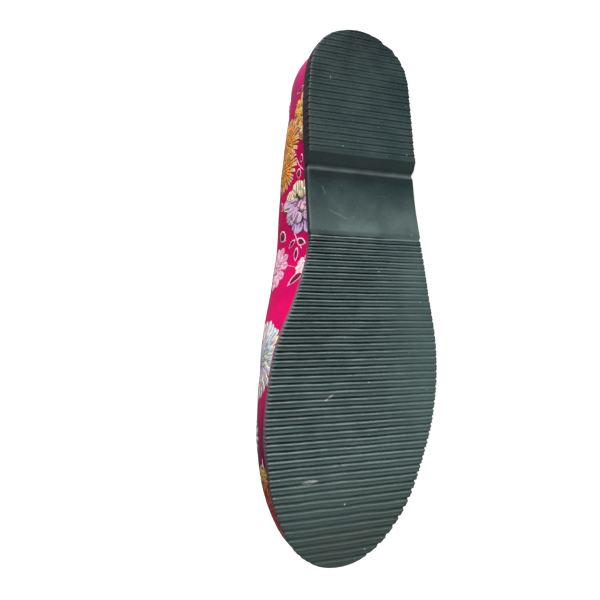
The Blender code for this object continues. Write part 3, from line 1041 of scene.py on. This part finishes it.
mums_piece = embroider("embroidered_chrysanthemums", (
    ("inner", (58, 41), chrysanthemum(10, OPEN_RINGS, ORANGE_MUM, 9)),
    ("inner", (66, 27.5), chrysanthemum(13.5, OPEN_RINGS, ORANGE_MUM, 10)),
    ("inner", (53.5, 25.5), chrysanthemum(13.5, OPEN_RINGS, ORANGE_MUM, 2)),
    ("inner", (162, 21), chrysanthemum(19, FULL_RINGS, RAINBOW_MUM, 3)),
    ("inner", (226, 15), chrysanthemum(14, OPEN_RINGS, SUNSET_MUM, 4)),
    ("outer", (70, 24), chrysanthemum(15, FULL_RINGS, RAINBOW_MUM, 5)),
    ("outer", (140, 22), chrysanthemum(15, OPEN_RINGS, ORANGE_MUM, 6)),
    ("outer", (203, 14), chrysanthemum(12, OPEN_RINGS, SUNSET_MUM, 7)),
    ("top", (-20, 183), chrysanthemum(18, OPEN_RINGS, ORANGE_MUM, 8)),
))

# %% Lay out the peonies
# The largest is charted petal by petal. Two dark ones pad it from beneath.
LARGE_PEONY = [ruffle(*petal_row) for petal_row in (
    ((-9, 1), 0, 11, 13, BROWN, BROWN, 0.0),
    ((-1, 2), 10, 11, 14, PLUM, PLUM, 0.0),
    ((6, -3), -5, 8.5, 9, VIOLET, PLUM, 0.04),
    ((-7, -3), 184, 6.5, 8, CREAM, BROWN, 0.04),
    ((6, 3), 20, 7.5, 9, VIOLET, PLUM, 0.10),
    ((-6, 3.5), 178, 7.5, 9.5, CREAM, BROWN, 0.10),
    ((-1, 8), 112, 8.5, 6.5, CREAM, BROWN, 0.06),
    ((-3, 7), 150, 7.5, 9, CREAM, BROWN, 0.16),
    ((1.5, 5.5), 50, 8, 9, LILAC, PLUM, 0.17),
    ((-3.5, 3), 88, 13, 5, LILAC, PLUM, 0.22),
    ((-3.5, -0.5), 176, 5.5, 9, CREAM, BROWN, 0.23),
    ((-1, 1), 74, 12, 5.5, LILAC, PLUM, 0.28),
    ((2, 3), 30, 6.5, 9, LILAC, PLUM, 0.32),
    ((0, -3), 5, 8, 8, LILAC, PLUM, 0.30),
    ((-2.5, -1), 30, 6, 8, BLUSH, PLUM, 0.37),
    ((-4.5, -3), 10, 6, 7, LILAC, PLUM, 0.42),
)]
peonies_piece = embroider("embroidered_peonies", (
    ("inner", (90, 10), LARGE_PEONY),
    ("inner", (43.5, 8.5), peony(10, (0.86, 0.46, 0.03), (0.97, 0.42, 0.01), (BROWN, SIENNA), 15), 0.4),
    ("inner", (54.5, 7.5), peony(4.6, CREAM, GOLD, (BROWN, BROWN), 16)),
    ("inner", (212, 11), peony(5.5, GOLD, AMBER, (BROWN, BROWN), 17)),
    ("outer", (33, 27), peony(12, BLUSH, CREAM, (ROSE, BROWN), 12)),
    ("outer", (106, 25), peony(13, LILAC, BLUSH, (PLUM, ROSE), 13)),
    ("top", (-25, 221), peony(13, CREAM, BLUSH, (BROWN, PLUM), 14)),
))

# %% Lay out the small blossoms
blossoms_piece = embroider("embroidered_blossoms", (
    ("inner", (117.5, 28), blossom(11, (0.76, 0.28, 0.48), (0.88, 0.56, 0.68), ROSE, 21)),
    ("inner", (120.5, 6), blossom(6, BLUSH, IVORY, PINK, 22)),
    ("inner", (196, 22), blossom(8, LILAC, IVORY, PLUM, 23)),
    ("outer", (171, 20), blossom(10, BLUSH, IVORY, ROSE, 24)),
    ("outer", (228, 14), blossom(8, SKY, IVORY, LILAC, 25)),
    ("back", (3, 33), blossom(9, BLUSH, IVORY, ROSE, 26)),
))

# %% Lay out the leaves and the sprigs
leaves_piece = embroider("embroidered_leaves", (
    ("inner", (28.7, 13.8), leaf((0.8, 4.0), 258, 8.4, 2.8)),
    ("inner", (70, 12), stem((-5, 3.0), -36, 10, 0.06) + leaf((0.2, 0.8), 4, 6.2, 3.6)
     + leaf((-1.5, -0.5), 190, 5.0, 2.2)),
    ("inner", (86, 27), leaf((-3, 1), -15, 6, 3)),
    ("inner", (101.4, 24.6), leaf((-3.0, 2.8), -40, 8.4, 6.2)),
    ("inner", (106, 14), stem((-6.5, 2.8), -30, 14, 0.05, 0.5) + leaf((-0.6, 0.8), 48, 6.4, 2.8)
     + leaf((-0.4, 0.0), -60, 7.4, 4.2) + leaf((3.4, -0.6), 0, 8.0, 3.2)),
    ("inner", (118.8, 14), stem((-1.5, 5.0), -71, 10, 0.0, 0.3)),
    ("inner", (127, 10), leaf((-4.5, -6.5), 60, 13.0, 4.6)),
    ("inner", (206.5, 9), stem((-3, 0.4), -8, 6, 0.04, 0.4) + leaf((0, 0), 30, 3.4, 1.4)),
    ("outer", (52, 15), sprig(13, 0.5)),
    ("outer", (88, 12), sprig(14, -0.4)),
    ("outer", (122, 10), sprig(13, 0.6)),
    ("outer", (157, 9), sprig(12, -0.5)),
    ("outer", (188, 26), sprig(12, 1.2)),
    ("top", (-40, 203), sprig(14, 0.6)),
    ("top", (-2, 205), sprig(13, -0.7)),
    ("top", (-38, 178), sprig(11, 1.2)),
    ("back", (-14, 20), sprig(11, 0.4)),
    ("back", (15, 18), sprig(11, -0.6)),
))

# %% [markdown]
# ## Finishes
#
# Four effects are shared, so each is a node group that gives out only masks and heights:
# threads that run along a pattern, mottling, dust specks, and long thin scratches. Each
# finish then puts them together with its own values, in front of its own Principled shader.
#
# Nodes are tedious to link by hand. Two small classes let a node be made in one line and its
# outputs be added and multiplied like numbers, so a finish reads as a short recipe.

# %% Node helpers
class Wire:
    """A node's output that takes arithmetic. Each step adds one Math node to its tree."""
    def __init__(self, socket):
        self.socket, self.tree = socket, socket.id_data

    def to(self, socket):
        self.tree.links.new(self.socket, socket)

    __add__ = __radd__ = lambda self, other: calc("ADD", self, other)
    __mul__ = __rmul__ = lambda self, other: calc("MULTIPLY", self, other)
    __sub__ = lambda self, other: calc("SUBTRACT", self, other)
    __rsub__ = lambda self, other: calc("SUBTRACT", other, self)
    __truediv__ = lambda self, other: calc("DIVIDE", self, other)
    __rtruediv__ = lambda self, other: calc("DIVIDE", other, self)


class Node:
    """A node with settings, and inputs by name, or by i and a number: wires or values."""
    def __init__(self, tree, kind, settings=None, **inputs):
        self.node = tree.nodes.new("ShaderNode" + kind)
        for key, value in (settings or {}).items():
            setattr(self.node, key, value)
        for key, value in inputs.items():
            number = key[1:] if key[0] == "i" and key[1:].isdigit() else None
            socket = self.node.inputs[int(number) if number else key.replace("_", " ")]
            if isinstance(value, Wire):
                value.to(socket)
            else:
                socket.default_value = (*value, 1) if socket.type == "RGBA" else value

    def __getitem__(self, output):
        return Wire(self.node.outputs[output])


# %% Arithmetic, smooth steps and mixes
def calc(operation, first, second=0.0, clamp=False):
    tree = (first if isinstance(first, Wire) else second).tree
    return Node(tree, "Math", {"operation": operation, "use_clamp": clamp}, i0=first, i1=second)[0]


def between(value, low, high, out_low=0.0, out_high=1.0):
    """Smooth step of a wire from low to high."""
    return Node(value.tree, "MapRange", {"interpolation_type": "SMOOTHSTEP"}, Value=value,
                From_Min=low, From_Max=high, To_Min=out_low, To_Max=out_high)[0]


def mixed(share, first, second):
    """Mix of two colours by a wire."""
    return Node(share.tree, "Mix", {"data_type": "RGBA"}, i0=share, i6=first, i7=second)[2]


def axes_of(place_mm):
    """The x, y and z of a vector wire."""
    parts = Node(place_mm.tree, "SeparateXYZ", Vector=place_mm)
    return [parts[axis] for axis in "XYZ"]


# %% Groups of nodes
def new_group(name, inputs, outputs):
    """Empty group, its inputs as wires, and its output sockets. None stands for a vector."""
    group = bpy.data.node_groups.new(name, "ShaderNodeTree")
    for label, value in inputs.items():
        kind = "NodeSocketVector" if value is None else "NodeSocketFloat"
        socket = group.interface.new_socket(name=label, in_out="INPUT", socket_type=kind)
        if value is not None:
            socket.default_value = value
    for label in outputs:
        group.interface.new_socket(name=label, in_out="OUTPUT", socket_type="NodeSocketFloat")
    given = group.nodes.new("NodeGroupInput").outputs
    return group, [Wire(given[label]) for label in inputs], group.nodes.new("NodeGroupOutput").inputs


def effect(group, place_mm, **inputs):
    """A shared group, placed in a finish with its own values."""
    return Node(place_mm.tree, "Group", {"node_tree": group}, Vector=place_mm, **inputs)


# %% Threads: long fine strands along the second measure, with breaks between stitches
STITCH_END = (0.44, 0.50)       # where a strand dips at the end of a stitch, as a share of it
GAP_LENGTH = 1.6                # stitches that a gap between strands lasts
GAP_FROM = 0.58                 # a lot above this is a gap

threads, (place_mm, pitch, stitch, hatch), results = new_group(
    "threads", {"Vector": None, "Pitch": 0.3, "Stitch": 3.0, "Hatch": 0.5}, ("Height", "Gap"))
x, y, _ = axes_of(place_mm)
across = x + Node(threads, "TexNoise", Vector=place_mm, Scale=0.6, Detail=1.0)["Fac"] * 0.5
strand = across / pitch
stagger = Node(threads, "TexWhiteNoise", {"noise_dimensions": "1D"}, W=calc("FLOOR", strand))["Value"]
round_top = calc("SINE", calc("FRACT", strand) * math.pi)
run = y / stitch + stagger
ended = between(calc("ABSOLUTE", calc("FRACT", run) - 0.5), *STITCH_END)
(round_top * (1 - ended)).to(results["Height"])
spot = Node(threads, "CombineXYZ", X=calc("FLOOR", across / hatch), Y=calc("FLOOR", run / GAP_LENGTH))[0]
lot = Node(threads, "TexWhiteNoise", {"noise_dimensions": "2D"}, Vector=spot)["Value"]
calc("GREATER_THAN", lot, GAP_FROM).to(results["Gap"])

# %% Mottling, specks and scratches
FINER = 18                      # how much finer the fine mottling is than the cloudy one

mottling, (place_mm, size_mm), results = new_group(
    "mottling", {"Vector": None, "Size": 20.0}, ("Cloud", "Fine"))
broad = 1 / size_mm
cloud = Node(mottling, "TexNoise", Vector=place_mm, Scale=broad, Detail=4.0, Roughness=0.6)["Fac"]
between(cloud, 0.32, 0.68).to(results["Cloud"])
Node(mottling, "TexNoise", Vector=place_mm, Scale=broad * FINER, Detail=2.0)["Fac"].to(results["Fine"])

dust_specks, (place_mm, spacing, size_mm, share), results = new_group(
    "dust_specks", {"Vector": None, "Spacing": 6.0, "Size": 0.3, "Share": 0.3}, ("Mask",))
cells = Node(dust_specks, "TexVoronoi", {"feature": "F1"}, Vector=place_mm, Scale=1 / spacing)
lot = Node(dust_specks, "SeparateColor", Color=cells["Color"])
dot = calc("LESS_THAN", cells["Distance"] * spacing, size_mm * (lot["Green"] + 0.3))
(dot * calc("LESS_THAN", lot["Red"], share)).to(results["Mask"])

scratches, (place_mm, length, width), results = new_group(
    "scratches", {"Vector": None, "Length": 12.0, "Width": 0.5}, ("Mask",))
stretch = Node(scratches, "CombineXYZ", X=1 / length, Y=1 / width, Z=0.1)[0]
stretched = Node(scratches, "VectorMath", {"operation": "MULTIPLY"}, i0=place_mm, i1=stretch)[0]
streak = Node(scratches, "TexNoise", Vector=stretched, Scale=1.0, Detail=2.0)["Fac"]
between(streak, 0.68, 0.74).to(results["Mask"])
print("shared groups", len(bpy.data.node_groups))

# %% Measures inside a finish
# Object coordinates are scene metres. One Mapping node turns them into shoe millimetres.
SHOE_TURN = Matrix(AXES.T.tolist()).to_euler()
SHOE_SHIFT = tuple(-(AXES.T @ ORIGIN) / MM)
SHEEN = ("Sheen Weight", "Sheen Roughness", "Sheen Tint")


def finish_for(name, roughness, specular, *sheen):
    """New material: it, its Principled shader, and a wire of shoe millimetres."""
    made = bpy.data.materials.new(name)
    made.use_nodes = True
    tree = made.node_tree
    shader = tree.nodes["Principled BSDF"]
    shader.inputs["Roughness"].default_value = roughness
    shader.inputs["Specular IOR Level"].default_value = specular
    for label, value in zip(SHEEN, sheen):
        shader.inputs[label].default_value = value
    return made, shader, Node(tree, "Mapping", Vector=Node(tree, "TexCoord")["Object"], Location=SHOE_SHIFT,
                              Rotation=tuple(SHOE_TURN), Scale=(1 / MM,) * 3)["Vector"]


def bump(shader, height, strength, depth):
    """Relief in a finish, its depth in millimetres."""
    made = Node(height.tree, "Bump", Height=height, Strength=strength, Distance=depth * MM)
    made["Normal"].to(shader.inputs["Normal"])


# %% [markdown]
# ### Rubber
#
# Moulded rubber is a dark green-grey, never quite black. Its grooves are painted darker as shade,
# the heel-facing shoulders of its ribs get a painted highlight, the side wall is dusty and a
# little purple, partly as a painted reflection of the light and the crimson upper, and the waist,
# which never touches the ground, is smoother and glossier than the rest.

# %% Shades of the rubber, and its marks of wear one by one
RUBBER_DARK, RUBBER, RUBBER_PALE = (0.012, 0.022, 0.022), (0.015, 0.032, 0.033), (0.060, 0.096, 0.091)
HEEL_RUBBER = (0.003, 0.013, 0.015)     # the back of the heel is the darkest
RIB_HIGHLIGHT = (0.190, 0.235, 0.225)          # painted highlight on the ribs' heel-facing shoulders, where the raking light falls
SIDE_WALL, DUST, SOIL_AND_LIGHT = (0.020, 0.019, 0.025), (0.42, 0.46, 0.42), (0.074, 0.082, 0.060)
WAIST_FILM_AND_LIGHT = (0.105, 0.150, 0.146)      # pale film that gathers against the first rib, and painted light where the waist turns towards the light
WALL_DUST_AND_REFLECTION = (0.210, 0.180, 0.215)      # dust on the forefoot's side wall, tinted lilac as a painted reflection of the light and the crimson upper
CREASE_HIGHLIGHT = (0.200, 0.270, 0.262)     # painted highlight along the fillet where the breast meets the waist

MARKS = (       # x, y, half length, half width, turn in degrees, strength, shade
    (-24.5, 180.0, 3.6, 0.60, -33, 0.70, DUST),
    (-35.5, 214.5, 4.6, 1.10, -3, 0.65, DUST),
    (-12.5, 96.0, 7.5, 0.60, 24, 0.15, DUST),
    (-19.5, 84.0, 3.2, 0.60, 75, 0.15, DUST),
    (-14.0, 28.0, 1.4, 0.25, 90, 0.60, DUST),
    (-21.5, 208.5, 1.9, 0.60, 60, 0.80, RUBBER_DARK),
    (-12.5, 170.5, 0.9, 0.70, 40, 0.90, RUBBER_DARK),
)

# %% How pale the rubber is, with painted light and shade
rubber, shader, place_mm = finish_for("moulded_rubber", 0.5, 0.20)
x, y, _ = axes_of(place_mm)
groove, wall, rubbed = (Node(place_mm.tree, "Attribute", {"attribute_name": name})["Fac"]
                        for name in ("groove", "side_wall", "rubbed"))
mottle = effect(mottling, place_mm, Size=22.0)
worn = effect(mottling, place_mm, Size=9.0)
cloud = mottle["Cloud"]
# Paler towards the ball, on the outer forefoot and in random clouds. The toe and the breast are lighter as
# painted light, where they turn away from the raking light, and the inner edge is darker as painted shade.
toward_ball = between(y, 60, 190, 0.0, 0.62)
toe_painted_light = between(y, 190, 240, 0.0, 0.60)
outer_forefoot = between(x, 5, 30) * between(y, 104, 120) * 0.30
inner_edge_shade = between(x, -42, -5, -0.22, 0.0)
breast_painted_light = between(y, 65.5, 68) * between(y, 73, 71) * 0.45
paleness_and_painted_light = toward_ball + cloud * 0.25 + toe_painted_light + outer_forefoot + inner_edge_shade + breast_painted_light
paleness_and_painted_light = calc("MAXIMUM", calc("MINIMUM", paleness_and_painted_light, 1.2), 0.0)
color = mixed(paleness_and_painted_light, mixed(between(y, 2, 48), HEEL_RUBBER, RUBBER), RUBBER_PALE)
color = mixed(between(mottle["Fine"], 0.35, 0.7, 0.0, 0.16), color, RUBBER_PALE)

# %% Film, dust, dirt, painted highlights and painted shade over it
# Pale blotches on the waist before the first rib: dust, and painted light where the waist turns towards the
# light.
film_and_light = between(y, 80, 104) * between(y, 107.4, 106.2) * between(cloud, 0, 1, 0.45, 0.85)
color = mixed(film_and_light, color, WAIST_FILM_AND_LIGHT)
# Painted highlight along the fillet at the foot of the breast.
crease_highlight = between(calc("ABSOLUTE", y - 73.3), 1.7, 0.2) * between(cloud, 0, 1, 0.45, 0.80)
color = mixed(crease_highlight, color, CREASE_HIGHLIGHT)
# Painted highlight: the heel-facing shoulders of the ribs are made pale.
color = mixed(rubbed * between(worn["Cloud"], 0, 1, 0.20, 0.55), color, RIB_HIGHLIGHT)
# Olive soil over the toe, made pale enough to be painted light too, where the toe turns away from the raking
# light.
color = mixed(between(y, 205, 245) * worn["Cloud"] * 0.45, color, SOIL_AND_LIGHT)
# Painted shade: the deeper a groove, the darker it is painted.
color = mixed(between(groove, 0.30, 0.80), color, RUBBER_DARK)
wall_color = mixed(between(worn["Fine"], 0.45, 0.8, 0.0, 0.14), SIDE_WALL, DUST)
# Dust on the forefoot's side wall, with a painted lilac reflection of the light and the crimson upper.
dust_and_reflection = between(y, 100, 125) * between(worn["Fine"], 0.36, 0.66, 0.30, 0.75)
color = mixed(wall, color, mixed(dust_and_reflection, wall_color, WALL_DUST_AND_REFLECTION))
specks = effect(dust_specks, place_mm, Spacing=5.0, Size=0.28, Share=0.12)["Mask"]
small_specks = effect(dust_specks, place_mm, Spacing=1.7, Size=0.18, Share=0.06)["Mask"]
scratched = effect(scratches, place_mm, Length=9.0, Width=0.6)["Mask"]
pale = calc("ADD", calc("ADD", specks, small_specks * 0.5, True), scratched * 0.05, True)
color = mixed(pale, color, DUST)
for mark_x, mark_y, half_length, half_width, turned, share, shade in MARKS:
    spot = Node(place_mm.tree, "Mapping", {"vector_type": "TEXTURE"}, Vector=place_mm,
                Location=(mark_x, mark_y, 2.0), Rotation=(0, 0, math.radians(turned)),
                Scale=(half_length, half_width, 5.0))[0]
    reach = Node(place_mm.tree, "VectorMath", {"operation": "LENGTH"}, i0=spot)["Value"]
    patchy = between(reach, 1.0, 0.6, 0.0, share) * between(worn["Fine"], 0.35, 0.60, 0.3, 1.0)
    color = mixed(patchy, color, shade)
color.to(shader.inputs["Base Color"])

# %% Gloss of the waist, and a fine grain
waist_gloss = between(y, 68, 74) * between(y, 106, 102)
(between(cloud, 0, 1, 0.46, 0.60) - waist_gloss * 0.14).to(shader.inputs["Roughness"])
bump(shader, mottle["Fine"] + scratched, 0.25, 0.10)
outsole.data.materials.append(rubber)

# %% [markdown]
# ### Satin, cotton and floss
#
# Satin floats its threads over each other, so it is smooth, and it shines along one way of
# the cloth. The lining and the sock are plain cotton. The floss of the flowers is bundled in
# strands that catch the light one by one, with some darker threads between them.

# %% Satin
CRIMSON, DEEP_CRIMSON = (0.580, 0.0005, 0.098), (0.460, 0.0005, 0.078)
HEEL_SHEEN_CRIMSON = (0.520, 0.060, 0.270)       # painted pink sheen round the heel
SHADED_CRIMSON = (0.100, 0.0005, 0.025)      # painted shade low down round the toe


def satin_cloth(name, near, far, on_uv, *sheen):
    """Satin: two crimsons in soft patches, a fine twill of floats and a bright sheen, with a painted pink
    sheen round the heel and painted shade low round the toe.
    """
    made, shader, place_mm = finish_for(name, 0.42, 0.05, *sheen)
    cloud = effect(mottling, place_mm, Size=16.0)
    cloth = Node(place_mm.tree, "UVMap", {"uv_map": "cloth"})["UV"] if on_uv else place_mm
    floats = effect(threads, cloth, Pitch=0.28, Stitch=1.6, Hatch=0.28)
    color = mixed(floats["Gap"] * 0.25, mixed(cloud["Cloud"], near, far), far)
    _, y, z = axes_of(place_mm)
    # Painted pink sheen round the heel.
    color = mixed(between(y, 40, 20, 0.0, 0.35), color, HEEL_SHEEN_CRIMSON)
    # Painted shade low down round the toe.
    painted_shade_at_toe = between(y, 168, 196) * between(z, 34, 14) * 0.75
    mixed(painted_shade_at_toe, color, SHADED_CRIMSON).to(shader.inputs["Base Color"])
    bump(shader, floats["Height"], 0.18, 0.05)
    between(cloud["Fine"], 0.3, 0.7, 0.36, 0.48).to(shader.inputs["Roughness"])
    return made


brocade = satin_cloth("crimson_brocade", CRIMSON, DEEP_CRIMSON, True, 0.02, 0.30, (1.0, 0.40, 0.75, 1))
satin = satin_cloth("crimson_satin", (0.33, 0.002, 0.062), (0.24, 0.001, 0.046), False,
                    0.10, 0.35, (1.0, 0.45, 0.7, 1))

# %% Sewing thread and cotton
thread, shader, place_mm = finish_for("crimson_thread", 0.55, 0.2, 0.3, 0.4, (1.0, 0.6, 0.8, 1))
twist = effect(mottling, place_mm, Size=4.0)["Fine"]
mixed(twist, (0.36, 0.004, 0.080), (0.50, 0.020, 0.140)).to(shader.inputs["Base Color"])
bump(shader, twist, 0.3, 0.05)


def cotton_cloth(name, near, far, pitch):
    """Plain weave: two sets of threads over and under each other."""
    made, shader, place_mm = finish_for(name, 0.85, 0.2, 0.2, 0.5, (1, 1, 1, 1))
    wave_x, wave_y = (calc("SINE", axis * (math.tau / pitch)) for axis in axes_of(place_mm)[:2])
    rise = wave_x * wave_y
    cloud = effect(mottling, place_mm, Size=30.0)
    color = mixed(cloud["Cloud"] * 0.6, near, far)
    # Painted shade: the low places of the weave are darker.
    mixed(between(rise, -1.0, 0.4, 0.35, 0.0), color, far).to(shader.inputs["Base Color"])
    bump(shader, rise + cloud["Fine"], 0.35, 0.10)
    return made


lining = cotton_cloth("cream_lining", (0.72, 0.62, 0.47), (0.55, 0.46, 0.33), 0.9)
sock_cotton = cotton_cloth("sock_cotton", (0.70, 0.58, 0.43), (0.50, 0.40, 0.28), 1.1)

# %% Floss silk
floss, shader, place_mm = finish_for("floss_silk", 0.42, 0.22, 0.04, 0.4, (1, 1, 1, 1))
tree = place_mm.tree
tint = Node(tree, "Attribute", {"attribute_name": "tint"})
on_petal = Node(tree, "UVMap", {"uv_map": "threads"})["UV"]
strands = effect(threads, on_petal, Pitch=0.34, Stitch=2.2, Hatch=0.6)
darker = Node(tree, "HueSaturation", Value=0.14, Saturation=1.5, Color=tint["Color"])[0]
color = mixed(strands["Gap"] * (1 - tint["Alpha"]), tint["Color"], darker)
lighter = Node(tree, "HueSaturation", Value=1.25, Saturation=0.9, Color=color)[0]
color = mixed(effect(mottling, place_mm, Size=5.0)["Cloud"] * 0.5, color, lighter)
color.to(shader.inputs["Base Color"])
bump(shader, strands["Height"], 0.6, 0.10)

# %% Dress the pieces
for embroidered in (mums_piece, peonies_piece, blossoms_piece, leaves_piece):
    embroidered.data.materials.append(floss)
upper.data.materials[0] = brocade
upper.data.materials[1] = lining
binding.data.materials.append(satin)
stitches.data.materials.append(thread)
insole.data.materials.append(sock_cotton)
print("materials", len(bpy.data.materials))


# %% [markdown]
# ## Floor, light and camera
#
# The shoe lies on a white table. A soft sun rakes over it from the heel side, so each rib of
# the tread shows: the groove's far wall catches it and the groove itself stays dark. The
# studio round it is dim, but it and the table look white, as on a lit sweep.

# %% Floor
bpy.ops.object.select_all(action="DESELECT")
bpy.ops.mesh.primitive_plane_add(size=30, location=(0, 0, 0))
floor = bpy.context.object
floor.name = "floor"
TABLE_GLOW = 0.92           # how much of its whiteness is the table's own light
floor_finish, shader, place_mm = finish_for("floor_white", 0.9, 0.2)
shader.inputs["Base Color"].default_value = (0.55, 0.55, 0.55, 1)
shader.inputs["Emission Color"].default_value = (1, 1, 1, 1)
(Node(place_mm.tree, "LightPath")["Is Camera Ray"] * TABLE_GLOW).to(shader.inputs["Emission Strength"])
floor.data.materials.append(floor_finish)

# %% Light
SKY_FOR_CAMERA = 1.2        # how bright the empty studio looks
SKY_FOR_LIGHT = 0.24        # how much it lights the shoe

world = bpy.data.worlds.new("studio")
bpy.context.scene.world = world
world.use_nodes = True
sky = world.node_tree.nodes["Background"]
sky.inputs["Color"].default_value = (1, 1, 1, 1)
seen = Node(world.node_tree, "LightPath")["Is Camera Ray"]
strength = Node(world.node_tree, "MapRange", Value=seen, To_Min=SKY_FOR_LIGHT, To_Max=SKY_FOR_CAMERA)
strength[0].to(sky.inputs["Strength"])


def soft_sun(name, toward_light, strength, angle):
    bpy.ops.object.light_add(type="SUN", location=(0, 0, 1))
    lamp = bpy.context.object
    lamp.name = name
    lamp.data.energy = strength
    lamp.data.angle = math.radians(angle)
    lamp.rotation_euler = Vector(toward_light).to_track_quat("Z", "Y").to_euler()


soft_sun("raking_key", (0.95, -0.27, 0.10), 6.0, 9)
soft_sun("front_fill", (0.45, -0.85, 0.22), 1.4, 30)
bpy.context.scene.view_settings.view_transform = "Standard"
print("lamps", len(bpy.data.lights))

# %% Camera
CAMERA_AT = (-132.5, 182.0, -239.5)
LOOK_AT = (-35.9, 137.4, 0.0)
ROLL = 3                    # degrees that the toe turns from straight down, to the left
camera_data = bpy.data.cameras.new("camera")
camera_data.lens = 36
camera_data.sensor_width = 36
camera_data.clip_start = 0.01
camera = bpy.data.objects.new("camera", camera_data)
bpy.context.scene.collection.objects.link(camera)
ahead = direction(*np.subtract(LOOK_AT, CAMERA_AT))
heelward = -direction(0, 1, 0)
above = (heelward - ahead * heelward.dot(ahead)).normalized()
upright = Matrix((ahead.cross(above), above, -ahead)).transposed()
camera.matrix_world = Matrix.Translation(Vector(to_scene(CAMERA_AT))) @ (
    upright @ Matrix.Rotation(math.radians(-ROLL), 3, "Z")).to_4x4()
bpy.context.scene.camera = camera
print("camera height, mm", round(camera.location.z * 1000))
